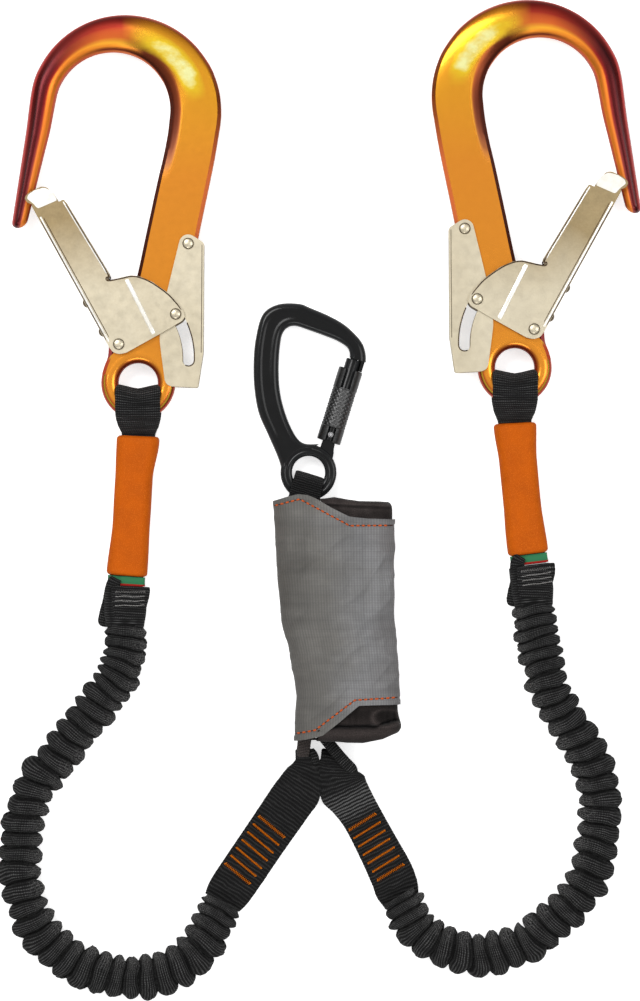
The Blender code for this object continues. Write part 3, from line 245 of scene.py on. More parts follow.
def curve_mesh(name, points, surface, cyclic=False, height=0.0, **settings):
    """The mesh that Blender makes of a curve through points in mm."""
    curve = bpy.data.curves.new(name, "CURVE")
    for key, value in settings.items():
        setattr(curve, key, value)
    spline = curve.splines.new("POLY")
    spline.points.add(len(points) - 1)
    for point, at in zip(spline.points, points):
        point.co = (*(c * MM for c in at), 1.0)
    spline.use_cyclic_u = cyclic
    drawn = bpy.data.objects.new(name + "_line", curve)
    drawn.location.z = height * MM
    bpy.context.scene.collection.objects.link(drawn)
    return to_mesh(name, drawn, surface)


def plate(name, outline, low, high, surface=None):
    """An upright solid over a flat outline, filled by Blender's own curve fill."""
    return curve_mesh(
        name, [(x, y, 0.0) for x, y in outline], surface, True, (high + low) / 2.0,
        dimensions="2D", fill_mode="BOTH", extrude=(high - low) / 2.0 * MM)


def to_mesh(name, drawn, surface=None):
    """The welded mesh of an object with its modifiers applied; the object goes."""
    bpy.context.view_layer.update()
    seen = drawn.evaluated_get(bpy.context.evaluated_depsgraph_get())
    mesh = bpy.data.meshes.new_from_object(seen)
    mesh.name = name
    mesh.transform(drawn.matrix_world)
    bm = bmesh.new()
    bm.from_mesh(mesh)
    bmesh.ops.remove_doubles(bm, verts=bm.verts, dist=2e-6)
    bmesh.ops.recalc_face_normals(bm, faces=bm.faces)
    bm.to_mesh(mesh)
    bm.free()
    mesh.materials.clear()
    bpy.data.objects.remove(drawn, do_unlink=True)
    return link(name, mesh, surface)


def applied(made):
    """The object with its modifiers applied, under the same name and surface."""
    name, surfaces = made.name, made.data.materials
    made.name = name + "_rough"
    return to_mesh(name, made, surfaces[0] if surfaces else None)


def combine(made, others, operation="DIFFERENCE"):
    """Boolean with other objects, which go."""
    for other in others:
        modifier = made.modifiers.new("cut", "BOOLEAN")
        modifier.operation = operation
        modifier.solver = "EXACT"
        modifier.object = other
    result = applied(made)
    for other in others:
        bpy.data.objects.remove(other, do_unlink=True)
    return result


def peg(name, at, radius, low, high, segments=48):
    bm = bmesh.new()
    bmesh.ops.create_cone(
        bm, cap_ends=True, segments=segments, radius1=radius * MM, radius2=radius * MM, depth=(high - low) * MM,
        matrix=Matrix.Translation(Vector((at[0], at[1], (high + low) / 2.0)) * MM),
    )
    return finish_mesh(name, bm)


def bevelled(made, width, segments=3, degrees=40.0):
    """Rounded edges, applied."""
    modifier = made.modifiers.new("edges", "BEVEL")
    modifier.width = width * MM
    modifier.segments = segments
    modifier.limit_method = "ANGLE"
    modifier.angle_limit = math.radians(degrees)
    return applied(made)


def turned(name, profile, steps, surface=None, at=(0, 0, 0), axis=(0, 0, 1)):
    """A profile of (radius, height) turned round an axis through a point."""
    turn = Vector(axis).to_track_quat("Z", "Y").to_matrix().to_4x4()
    place = Matrix.Translation(Vector(at)) @ turn
    rings = []
    for k in range(steps):
        angle = 2.0 * math.pi * k / steps
        rings.append([place @ Vector((r * math.cos(angle), r * math.sin(angle), h)) for r, h in profile])
    bm = bmesh.new()
    verts = [[bm.verts.new(p * MM) for p in ring] for ring in rings]
    closed = profile[0][0] > 1e-6
    count = len(profile)
    for k in range(steps):
        here, there = verts[k], verts[(k + 1) % steps]
        for i in range(count if closed else count - 1):
            n = (i + 1) % count
            bm.faces.new((here[i], here[n], there[n], there[i]))
    bmesh.ops.remove_doubles(bm, verts=bm.verts, dist=1e-6)
    bmesh.ops.dissolve_degenerate(bm, edges=bm.edges, dist=1e-7)
    return finish_mesh(name, bm, surface)


def dress(made, body, slot, *nodes):
    """Ride on a body and stand for CAD nodes; the slot is not used."""
    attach(made, body)
    if nodes:
        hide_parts(*nodes)
    return made


# Materials


def set_stops(band, stops):
    """Give a colour ramp its stops, as (place, grey or colour)."""
    band.elements[1].position = stops[-1][0]
    band.elements[0].position = stops[0][0]
    for place, _ in stops[1:-1]:
        band.elements.new(place)
    for element, (_, colour) in zip(band.elements, stops):
        element.color = (*colour, 1.0) if isinstance(colour, tuple) else (colour, colour, colour, 1.0)


class Value:
    """An output of a shader's nodes that takes part in sums."""

    def __init__(self, made, socket):
        self.made, self.socket = made, socket

    def __add__(self, other):
        return self.made.math("ADD", self, other)

    def __sub__(self, other):
        return self.made.math("SUBTRACT", self, other)

    def __rsub__(self, other):
        return self.made.math("SUBTRACT", other, self)

    def __mul__(self, other):
        return self.made.math("MULTIPLY", self, other)

    def __truediv__(self, other):
        return self.made.math("DIVIDE", self, other)

    def __abs__(self):
        return self.made.math("ABSOLUTE", self)


class Shader:
    """A Principled material built node by node."""

    def __init__(self, name, colour, roughness, metallic=0.0, **sockets):
        self.material = bpy.data.materials.new(name)
        self.material.use_nodes = True
        self.tree = self.material.node_tree
        self.shader = self.tree.nodes["Principled BSDF"]
        self.shader.inputs["Base Color"].default_value = (*colour, 1.0)
        self.shader.inputs["Roughness"].default_value = roughness
        self.shader.inputs["Metallic"].default_value = metallic
        for key, value in sockets.items():
            self.shader.inputs[key.replace("_", " ")].default_value = value
        self.place = self.coordinates("Object")

    def node(self, kind, **values):
        made = self.tree.nodes.new(kind)
        for key, value in values.items():
            if hasattr(made, key):
                setattr(made, key, value)
            else:
                made.inputs[key.replace("_", " ")].default_value = value
        return made

    def feed(self, target, source):
        """Give a socket a number, a colour or another node's output."""
        if isinstance(source, Value):
            self.tree.links.new(source.socket, target)
        else:
            target.default_value = (*source, 1.0) if isinstance(source, tuple) else source

    def coordinates(self, kind):
        return Value(self, self.node("ShaderNodeTexCoord").outputs[kind])

    def split(self, vector=None):
        """The x, y and z of a vector, or else of the place."""
        made = self.node("ShaderNodeSeparateXYZ")
        self.feed(made.inputs[0], vector or self.place)
        return [Value(self, made.outputs[axis]) for axis in "XYZ"]

    def facing(self):
        return self.split(self.coordinates("Normal"))

    def noise(self, scale, detail=3.0, roughness=0.55, vector=None):
        made = self.node("ShaderNodeTexNoise", Scale=scale, Detail=detail, Roughness=roughness)
        self.feed(made.inputs["Vector"], vector or self.place)
        return Value(self, made.outputs["Fac"])

    def wave(self, scale, direction, distortion, detail=2.0):
        made = self.node("ShaderNodeTexWave", wave_type="BANDS", bands_direction=direction,
                         Scale=scale, Distortion=distortion, Detail=detail)
        self.feed(made.inputs["Vector"], self.place)
        return Value(self, made.outputs["Fac"])

    def threads(self, pitch, direction="X", distortion=0.5, detail=2.0):
        """Parallel threads a pitch apart, in the units of the coordinates."""
        return self.wave(math.pi / 10.0 / pitch, direction, distortion, detail)

    def math(self, operation, a, b=0.0):
        made = self.node("ShaderNodeMath", operation=operation)
        self.feed(made.inputs[0], a)
        self.feed(made.inputs[1], b)
        return Value(self, made.outputs[0])

    def ramp(self, factor, stops):
        made = self.node("ShaderNodeValToRGB")
        set_stops(made.color_ramp, stops)
        self.feed(made.inputs["Fac"], factor)
        return Value(self, made.outputs["Color"])

    def blend(self, factor, a, b, mode="MIX"):
        made = self.node("ShaderNodeMix", data_type="RGBA", blend_type=mode)
        for key, value in (("Factor", factor), ("A", a), ("B", b)):
            self.feed(made.inputs[key], value)
        return Value(self, made.outputs["Result"])

    def tinted(self, colour, tint):
        return self.blend(1.0, colour, tint, "MULTIPLY")

    def mapped(self, scale, turn=0.0):
        made = self.node("ShaderNodeMapping")
        made.inputs["Scale"].default_value = scale
        made.inputs["Rotation"].default_value = (0.0, 0.0, turn)
        self.feed(made.inputs["Vector"], self.place)
        return Value(self, made.outputs["Vector"])

    def colour(self, value):
        self.feed(self.shader.inputs["Base Color"], value)

    def roughness(self, value):
        self.feed(self.shader.inputs["Roughness"], value)

    def bump(self, height, distance, strength=1.0):
        """Relief in mm, on top of the relief so far."""
        made = self.node("ShaderNodeBump", Strength=strength, Distance=distance * MM)
        self.feed(made.inputs["Height"], height)
        normal = self.shader.inputs["Normal"]
        if normal.links:
            self.tree.links.new(normal.links[0].from_socket, made.inputs["Normal"])
        self.tree.links.new(made.outputs["Normal"], normal)


def tone(red, green, blue):
    """A linear colour from its 0 to 255 display values."""
    return tuple(((c / 255.0 + 0.055) / 1.055) ** 2.4 if c > 10 else c / 3294.6 for c in (red, green, blue))


def toned(*stops):
    """Ramp stops given as (place, red, green, blue) in display values."""
    return [(place, tone(*colour)) for place, *colour in stops]


def on_strap(made):
    """Coordinates in mm along a strap's own width and length."""
    made.place = made.coordinates("UV")
    return made


# The forging's orange by part, with painted reflections and painted shade, from a surface that faces inwards (0) to
# one that faces outwards (1)
LIMB_TONES_AND_REFLECTIONS = toned(
    (0.0, 176, 62, 38), (0.07, 212, 92, 44), (0.12, 246, 146, 46), (0.34, 242, 132, 44), (0.41, 150, 34, 30),
    (0.5, 92, 22, 25), (0.66, 56, 12, 15), (0.82, 132, 38, 36), (0.92, 188, 42, 34), (1.0, 164, 42, 32))
CROWN_TONES_AND_REFLECTIONS = toned(
    (0.0, 206, 92, 46), (0.06, 218, 116, 48), (0.14, 122, 44, 30), (0.24, 242, 146, 44), (0.34, 248, 178, 52),
    (0.44, 206, 100, 40), (0.58, 150, 42, 26), (0.76, 134, 30, 25), (0.87, 96, 30, 24), (0.94, 172, 50, 36),
    (1.0, 186, 62, 42))
BEND_TONES_AND_REFLECTIONS = toned(
    (0.0, 222, 116, 44), (0.06, 206, 98, 38), (0.12, 82, 34, 20), (0.22, 112, 48, 26), (0.3, 116, 50, 26),
    (0.4, 150, 76, 30), (0.47, 232, 158, 40), (0.6, 236, 164, 36), (0.78, 226, 138, 36), (0.87, 118, 46, 30),
    (0.94, 188, 82, 40), (1.0, 208, 96, 46))
SPINE_TONES_AND_REFLECTIONS = toned(
    (0.0, 206, 100, 42), (0.07, 206, 100, 42), (0.13, 88, 38, 25), (0.34, 112, 50, 29), (0.44, 150, 76, 34),
    (0.485, 230, 144, 44), (0.6, 234, 148, 44), (0.72, 232, 126, 62), (0.9, 226, 112, 60), (1.0, 190, 84, 44))
EYE_TONES_AND_REFLECTIONS = toned(
    (0.0, 150, 46, 34), (0.14, 196, 80, 40), (0.34, 236, 150, 46), (0.56, 234, 148, 44), (0.7, 206, 92, 38),
    (0.77, 250, 214, 66), (0.85, 186, 70, 36), (0.92, 150, 44, 34), (1.0, 206, 92, 44))


def orange_anodised():
    """Polished orange metal whose tone turns with the way the forging's surface faces: painted reflections and
    painted shade over its orange.
    """
    made = Shader("orange_anodised", tone(234, 148, 44), 0.27, 0.8)
    x, y, _ = made.split()
    facing_x, facing_y, _ = made.facing()
    # The hook's own plane, the same for both hooks: u towards the spine and v up from the bend's middle
    u = HOOK_OFFSET_X * MM - abs(x)
    v = y - HOOK_LEFT_Y * MM - made.math("GREATER_THAN", x, 0.0) * (HOOK_RIGHT_RISE * MM)
    facing_u = facing_x * made.math("SIGN", x) * -1.0
    eye_u, eye_v = u - EYE_CENTRE[0] * MM, v - EYE_CENTRE[1] * MM

    def length(a, b):
        return made.math("SQRT", a * a + b * b)

    def choose(share, a, b):
        return a + share * (b - a)

    on_eye = made.math("LESS_THAN", length(eye_u, eye_v), (EYE_OUTER + 0.6) * MM)
    off_eye = 1.0 - on_eye
    across = choose(on_eye, u, eye_u)
    along = choose(on_eye, made.math("MAXIMUM", v, 0.0), eye_v)
    reach = made.math("MAXIMUM", length(across, along), 0.5 * MM)
    lean_u, lean_v = across / reach, along / reach
    face = (facing_u * lean_u + facing_y * lean_v) * 0.5 + 0.5
    turned_by = 0.5 - lean_u * 0.5
    crown = made.ramp(turned_by, [(0.34, 0.0), (0.52, 1.0)]) * off_eye
    limb = made.ramp(turned_by, [(0.66, 0.0), (0.93, 1.0)]) * off_eye
    spine = made.ramp((6.0 * MM - v) * 22.0, [(0.0, 0.0), (1.0, 1.0)])
    # Painted reflections and shade: the colour follows the way the surface faces
    shade = made.ramp(face, BEND_TONES_AND_REFLECTIONS)
    for share, stops in (
            (spine, SPINE_TONES_AND_REFLECTIONS), (crown, CROWN_TONES_AND_REFLECTIONS), (limb, LIMB_TONES_AND_REFLECTIONS), (on_eye, EYE_TONES_AND_REFLECTIONS)):
        shade = made.blend(share, shade, made.ramp(face, stops))
    # A painted highlight, pale yellow, on the bend above the spine
    off = (length(u, v) - 43.4 * MM) / (7.4 * MM)
    band = made.ramp(1.0 - off * off, [(0.0, 0.0), (1.0, 1.0)])
    arc = made.ramp(lean_u, [(0.02, 0.0), (0.5, 0.72), (0.86, 1.0), (0.93, 0.8), (0.998, 0.0)])
    mottle = made.ramp(made.noise(95.0, 4.0, 0.6, made.mapped((1.0, 1.6, 1.0), -0.6)), [(0.35, 0.62), (0.62, 1.0)])
    painted_highlight = band * arc * made.math("GREATER_THAN", v, 0.0) * mottle
    shade = made.blend(made.ramp(painted_highlight, [(0.04, 0.0), (0.5, 1.0)]), shade, tone(244, 208, 44))
    shade = made.blend(made.ramp(painted_highlight, [(0.44, 0.0), (0.8, 1.0)]), shade, tone(255, 252, 176))
    specks = made.ramp(made.noise(700.0, 2.0, 0.8), [(0.73, 1.0), (0.79, 0.7)])
    made.colour(made.tinted(shade, specks))
    # The spine's bevelled outer edge is satin, so that it stays a light band
    satin = made.ramp(face, [(0.2, 0.0), (0.32, 1.0), (0.46, 1.0), (0.492, 0.0), (0.58, 0.0), (0.7, 1.0)])
    made.feed(made.shader.inputs["Metallic"], 0.8 - spine * off_eye * satin * 0.62)
    # The crown's left and the spine's satin parts spread the lamps' reflections
    dull = made.ramp(turned_by, [(0.36, 0.0), (0.46, 0.2), (0.56, 0.7), (0.66, 1.0), (0.84, 1.0), (0.98, 0.0)])
    below = made.ramp((30.0 * MM - v) * 16.0, [(0.0, 0.0), (0.6, 1.0)])
    slope = below * made.ramp(face, [(0.38, 1.0), (0.492, 0.0)])
    polish = made.ramp(made.noise(300.0, 4.0), [(0.3, 0.22), (0.7, 0.26)])
    made.roughness(polish + made.math("MAXIMUM", dull, slope) * off_eye * 0.3)
    made.bump(made.noise(2200.0, 2.0), 0.003, 0.3)
    return made.material


def nickel_steel(name="nickel_steel", painted_tip_reflection=0.0):
    """Plated sheet, brushed along its length; a share of painted brown reflection darkens it towards the gate's tip.
    """
    made = Shader(name, tone(216, 206, 184), 0.36, 0.85)
    grain = made.noise(700.0, 5.0, 0.7)
    sweep = made.noise(26.0, 2.0, 0.5, made.mapped((1.0, 0.5, 1.0), 0.5))
    cast = grain * 0.45 + sweep * 0.55
    pale = made.ramp(cast, toned((0.25, 199, 187, 160), (0.75, 219, 209, 185)))
    if painted_tip_reflection:
        lift = (made.split()[1] - 185.0 * MM) * 16.0 + (sweep - 0.5) * 0.8
        brown = made.ramp(cast, toned((0.3, 138, 117, 81), (0.7, 167, 147, 108)))
        pale = made.blend(made.ramp(lift, [(0.15, 0.0), (0.8, painted_tip_reflection)]), pale, brown)
    # Sheared edges and the feet of the rivets are painted dark where the surface turns away from straight up, a
    # painted reflection of dark surroundings
    edge = made.ramp(abs(made.facing()[2]), [(0.06, 0.25), (0.25, 0.9), (0.7, 0.9), (0.93, 0.0)])
    made.colour(made.blend(edge, pale, tone(84, 66, 42)))
    made.roughness(made.ramp(made.noise(220.0, 4.0), [(0.3, 0.3), (0.7, 0.42)]))
    made.bump(made.noise(2600.0, 2.0, vector=made.mapped((1.0, 0.08, 1.0), 0.5)), 0.012, 0.5)
    return made.material


# A paler copy of the steel: painted highlight for the ridges and the tongue that catch the light
def highlight_steel():
    made = Shader("highlight_steel", tone(250, 247, 238), 0.3, 0.35)
    made.colour(made.ramp(made.noise(120.0, 3.0), toned((0.3, 240, 235, 222), (0.6, 253, 251, 246))))
    made.bump(made.noise(2600.0, 2.0), 0.01, 0.4)
    return made.material


# A dark brown copy of the steel: painted shade for the dark lines along folds and edges
def shade_steel():
    made = Shader("shade_steel", tone(64, 48, 32), 0.4, 0.6)
    made.colour(made.ramp(made.noise(400.0, 3.0), toned((0.3, 44, 32, 22), (0.7, 92, 72, 48))))
    made.bump(made.noise(2000.0, 2.0), 0.006, 0.4)
    return made.material


def spring_steel():
    made = Shader("spring_steel", (0.5, 0.5, 0.51), 0.34, 0.9)
    made.roughness(made.ramp(made.noise(900.0, 2.0), [(0.3, 0.25), (0.7, 0.45)]))
    return made.material


def black_anodised():
    made = Shader("black_anodised", (0.0016, 0.0017, 0.0019), 0.2, 0.0, Specular_IOR_Level=0.27)
    wear = made.ramp(
        made.noise(300.0, 6.0, 0.7), [(0.62, (0.0015, 0.0016, 0.0018)), (0.84, (0.009, 0.009, 0.0095))])
    # The rounded rims are painted a little lighter than the faces between them, a painted highlight
    rim_highlight = made.ramp(abs(made.facing()[2]), [(0.2, 0.0), (0.5, 0.5), (0.85, 0.9), (0.985, 0.0)])
    made.colour(made.blend(rim_highlight, wear, (0.021, 0.022, 0.023)))
    made.roughness(made.ramp(made.noise(140.0, 4.0), [(0.3, 0.15), (0.7, 0.24)]))
    made.bump(made.noise(2500.0, 2.0), 0.008, 0.4)
    return made.material


def knurled_anodised():
    """Black metal, lighter on the crests that face up, as painted light from above."""
    made = Shader("knurled_anodised", (0.008, 0.008, 0.0085), 0.3, 0.0, Specular_IOR_Level=0.6)
    crest = made.noise(900.0, 4.0, 0.7)
    made.colour(made.ramp(made.facing()[2] * (crest + 0.5), [(0.5, 0.004), (0.8, 0.012), (1.1, 0.05)]))
    made.bump(crest, 0.02, 0.5)
    return made.material


def black_webbing(
        name="black_webbing", base=0.012, rib=1.5, light=0.08, wear=0.4, band=None, tint=(1.0, 1.0, 1.0), warp=1.6):
    """Woven strap: strong ribs across it, fine yarns along it, the ribs lighter by their weave and by painted light.
    """
    made = on_strap(Shader(
        name, (base, base, base * 1.05), 0.85, 0.0, Sheen_Weight=0.06, Sheen_Roughness=0.4, Specular_IOR_Level=0.2))
    weave = made.threads(rib, "Y", warp, 3.0) * (made.threads(1.1, "X", 0.8) * 0.5 + 0.5)
    fuzz = made.noise(4.5, 4.0, 0.7)
    # Some ribs catch more light than their neighbours
    lit = weave * made.noise(1.0, 2.0, 0.6, made.mapped((0.05, 0.55, 1.0)))
    if band:
        # One stretch of the strap gets a pale painted highlight
        off = abs(made.split()[1] - band)
        lit = lit + made.ramp(off / 14.0, [(0.2, 1.0), (0.85, 0.0)]) * weave
    lit_ribs = made.ramp(lit, [(0.08, base * 0.3), (0.3, base * 1.4), (0.52, light), (1.0, light * 3.4)])
    specks = made.ramp(fuzz * made.noise(0.16, 2.0), [(0.36, 0.0), (0.5, wear)])
    made.colour(made.tinted(made.blend(specks, lit_ribs, (0.13, 0.125, 0.125)), tint))
    made.bump(fuzz, 0.1, 0.5)
    made.bump(weave, 0.65, 1.0)
    return made.material


def elastic_webbing():
    """Gathered stretch webbing: fine cords run round each gather, with a fuzzy nap."""
    made = on_strap(Shader(
        "elastic_webbing", (0.008, 0.008, 0.009), 0.88, 0.0, Sheen_Weight=0.05, Sheen_Roughness=0.45,
        Specular_IOR_Level=0.2))
    weave = made.threads(1.2, "Y", 2.4, 4.0) * (made.threads(0.9, "X", 1.5) * 0.45 + 0.55)
    lit = weave * (made.noise(0.25, 3.0) + 0.25)
    shade = made.ramp(lit, [(0.1, 0.003), (0.36, 0.014), (0.75, 0.085)])
    # Little light reaches the valleys between the gathers
    around, along, _ = made.split()
    valley = abs(made.math("SINE", along * (math.pi / LOBE_PITCH)))
    shade = made.tinted(shade, made.ramp(valley, [(0.2, 0.05), (0.76, 1.0)]))
    # Nubs of the nap show pale, most of all on the inner side of the bends
    turned_in = made.math("COSINE", around * (2.0 * math.pi / ARM_AROUND))
    inner = made.ramp(turned_in * 0.5 + 0.5, [(0.58, 0.02), (0.98, 1.0)])
    specks = made.ramp(made.noise(1.35, 3.0, 0.7), [(0.52, 0.0), (0.61, 0.9)]) * inner
    specks = specks * made.ramp(valley, [(0.2, 0.15), (0.7, 1.0)])
    made.colour(made.blend(specks, shade, (0.23, 0.225, 0.22)))
    made.bump(made.noise(3.2, 5.0, 0.75), 0.16, 0.6)
    made.bump(weave, 0.5, 1.0)
    return made.material


def grey_ripstop():
    """A fine upright weave, warm grey at the left and bluish at the right, with faint heavier threads."""
    made = Shader("grey_ripstop", (0.17, 0.165, 0.155), 0.8, 0.0, Sheen_Weight=0.08, Sheen_Roughness=0.4)
    share = (made.split()[0] + 34.0 * MM) * 12.5 + (made.noise(28.0, 3.0) - 0.5) * 0.7
    base = made.ramp(share, [
        (0.0, (0.086, 0.080, 0.071)), (0.4, (0.126, 0.121, 0.112)), (0.75, (0.168, 0.168, 0.171)),
        (1.0, (0.130, 0.125, 0.126))])
    # Painted shade and light of the folds: slanted and broad bands tint the cloth darker and lighter
    folds = made.noise(1.0, 2.0, 0.5, made.mapped((24.0, 84.0, 20.0), 0.62))
    broad = made.noise(1.0, 2.0, 0.5, made.mapped((60.0, 12.0, 20.0), -0.12))
    base = made.tinted(base, made.ramp(folds, [
        (0.34, 0.84), (0.47, 0.98), (0.53, 1.02), (0.57, 1.13), (0.66, 1.04)]))
    base = made.tinted(base, made.ramp(broad, [(0.38, 0.9), (0.5, 0.99), (0.62, 1.06)]))
    on_strap(made)
    uprights, levels = made.threads(1.55, "X", 0.2), made.threads(1.45, "Y", 0.25)
    heavy = made.math("MAXIMUM", *(
        made.ramp(made.threads(5.1, way, 0.0), [(0.86, 0.0), (1.0, 1.0)]) for way in "XY"))
    lines = made.blend(uprights * 0.5, base, made.tinted(base, (1.6, 1.6, 1.6)))
    lines = made.tinted(lines, (0.93, 0.93, 0.93))
    lines = made.blend(levels * 0.2, lines, (0.1, 0.098, 0.094))
    made.colour(made.blend(heavy * 0.11, lines, (0.05, 0.05, 0.052)))
    made.bump(uprights * levels, 0.09, 0.7)
    made.bump(heavy, 0.02, 0.4)
    return made.material


def black_fabric():
    """Velvety cloth, brown-black, lighter on its nap and upwards, with painted shade in the hollows of its relief and
    painted light on its rises.
    """
    made = on_strap(Shader(
        "black_fabric", (0.016, 0.013, 0.0125), 0.92, 0.0, Sheen_Weight=0.1, Sheen_Roughness=0.4,
        Specular_IOR_Level=0.12))
    nap = made.noise(1.6, 5.0, 0.7)
    cloth = made.ramp(nap, [(0.35, (0.0135, 0.0105, 0.0102)), (0.7, (0.04, 0.033, 0.031))])
    cloth = made.tinted(cloth, made.ramp(made.split()[1] / 90.0, [(0.0, 0.86), (0.6, 1.5)]))
    # Painted shade in the hollows and painted light on the rises, from the relief that the pouch stores
    relief = Value(made, made.node("ShaderNodeAttribute", attribute_name="relief").outputs["Fac"])
    made.colour(made.tinted(cloth, made.ramp(
        relief, [(0.0, 0.12), (0.36, 0.62), (0.5, 1.0), (0.68, 1.5), (1.0, 2.2)])))
    made.bump(nap, 0.25, 0.6)
    made.bump(made.threads(0.7, "X", 1.0), 0.06, 0.5)
    return made.material


def orange_sleeve():
    made = Shader("orange_sleeve", (0.5, 0.085, 0.0015), 0.6, 0.0, Specular_IOR_Level=0.08)
    cloud = made.noise(70.0, 3.0)
    base = made.ramp(cloud, [(0.3, (0.46, 0.078, 0.001)), (0.7, (0.56, 0.100, 0.002))])
    fleck = made.ramp(made.noise(1500.0, 3.0, 0.8), [(0.5, 0.0), (0.68, 0.75)])
    made.colour(made.blend(fleck, base, (0.72, 0.18, 0.012)))
    made.roughness(made.ramp(cloud, [(0.3, 0.55), (0.7, 0.7)]))
    made.bump(made.noise(1400.0, 3.0, 0.6), 0.1, 0.55)
    made.bump(made.noise(420.0, 3.0), 0.12, 0.5)
    return made.material


def green_label():
    made = on_strap(Shader("green_label", (0.02, 0.2, 0.09), 0.6))
    made.colour(made.ramp(made.noise(0.9, 4.0, 0.7), [(0.4, (0.001, 0.13, 0.04)), (0.62, (0.006, 0.21, 0.075))]))
    made.bump(made.threads(0.5, "X", 0.5), 0.1, 0.5)
    return made.material


def thread(name, colour):
    made = Shader(name, colour, 0.6, 0.0, Specular_IOR_Level=0.1)
    twist = made.wave(900.0, "DIAGONAL", 1.0)
    dark = tuple(c * 0.45 for c in colour)
    made.colour(made.ramp(twist, [(0.2, dark), (0.7, colour)]))
    made.bump(twist, 0.08, 0.6)
    return made.material


SPRING = spring_steel()
BLACK_METAL = black_anodised()
KNURLED_METAL = knurled_anodised()
WEBBING = black_webbing()
FINE_WEBBING = black_webbing("fine_webbing", 0.013, 1.3, 0.03, 0.4, warp=3.0)
LOOP_WEBBING = black_webbing("loop_webbing", 0.012, 2.2, 0.032, 0.6, warp=3.6)
# Its pale stretch is a painted highlight
HIGHLIT_WEBBING = black_webbing("highlit_webbing", 0.012, 2.0, 0.036, 0.6, band=66.0, warp=3.6)
TIE_WEBBING = black_webbing("brown_strap", 0.06, 1.0, 0.09, 0.3, tint=(1.15, 0.95, 0.88))
ELASTIC = elastic_webbing()
RIPSTOP = grey_ripstop()
POUCH_FABRIC = black_fabric()
SLEEVE = orange_sleeve()
LABEL = green_label()
ORANGE_THREAD = thread("orange_thread", (0.72, 0.13, 0.03))
TACK_THREAD = thread("tack_thread", (0.78, 0.2, 0.004))
DARK_THREAD = thread("dark_thread", (0.07, 0.018, 0.012))
RED_THREAD = thread("red_thread", (0.5, 0.02, 0.015))
GREY_THREAD = thread("grey_thread", (0.36, 0.35, 0.34))


# Lines and cords


def lengths_along(points):
    walked = [0.0]
    for p, q in zip(points, points[1:]):
        walked.append(walked[-1] + math.dist(p, q))
    return walked


def directions(points):
    """Unit vectors along a line at each of its points."""
    found = []
    for k in range(len(points)):
        a, b = Vector(points[max(k - 1, 0)]), Vector(points[min(k + 1, len(points) - 1)])
        found.append((b - a).normalized())
    return found


# Elastic arms: a tube of stretch webbing gathered into slanted lobes

ARM_HEIGHT = 8.1
ARM_COLUMNS = 64
BEAT_SPACING = (6.9, 10.2)
LEFT_ARM_ROUTE = [
    (-121, -5.9), (-121, -15), (-122, -27), (-126, -38), (-133, -48), (-139, -58), (-147, -67), (-155, -77),
    (-162, -86), (-170, -95), (-176, -106), (-180, -117), (-182, -129), (-183, -141), (-184, -153),
    (-182, -165), (-179, -176), (-174, -187), (-167, -196), (-157, -204), (-147, -211), (-136, -215),
    (-124, -218), (-112, -218), (-101, -216), (-90, -211), (-80, -204), (-73, -194), (-68, -184), (-62, -172),
]
RIGHT_ARM_ROUTE = [
    (124.2, 7.1), (125, -3), (127, -15), (129, -27), (132, -38), (136, -50), (142, -60), (149, -69),
    (155, -80), (160, -91), (163, -102), (165, -114), (164, -126), (162, -138), (159, -150), (155, -161),
    (149, -171), (140, -180), (131, -188), (123, -196), (112, -200), (100, -203), (88, -204), (76, -201),
    (65, -197), (55.5, -189.5), (49, -179), (43, -169),
]


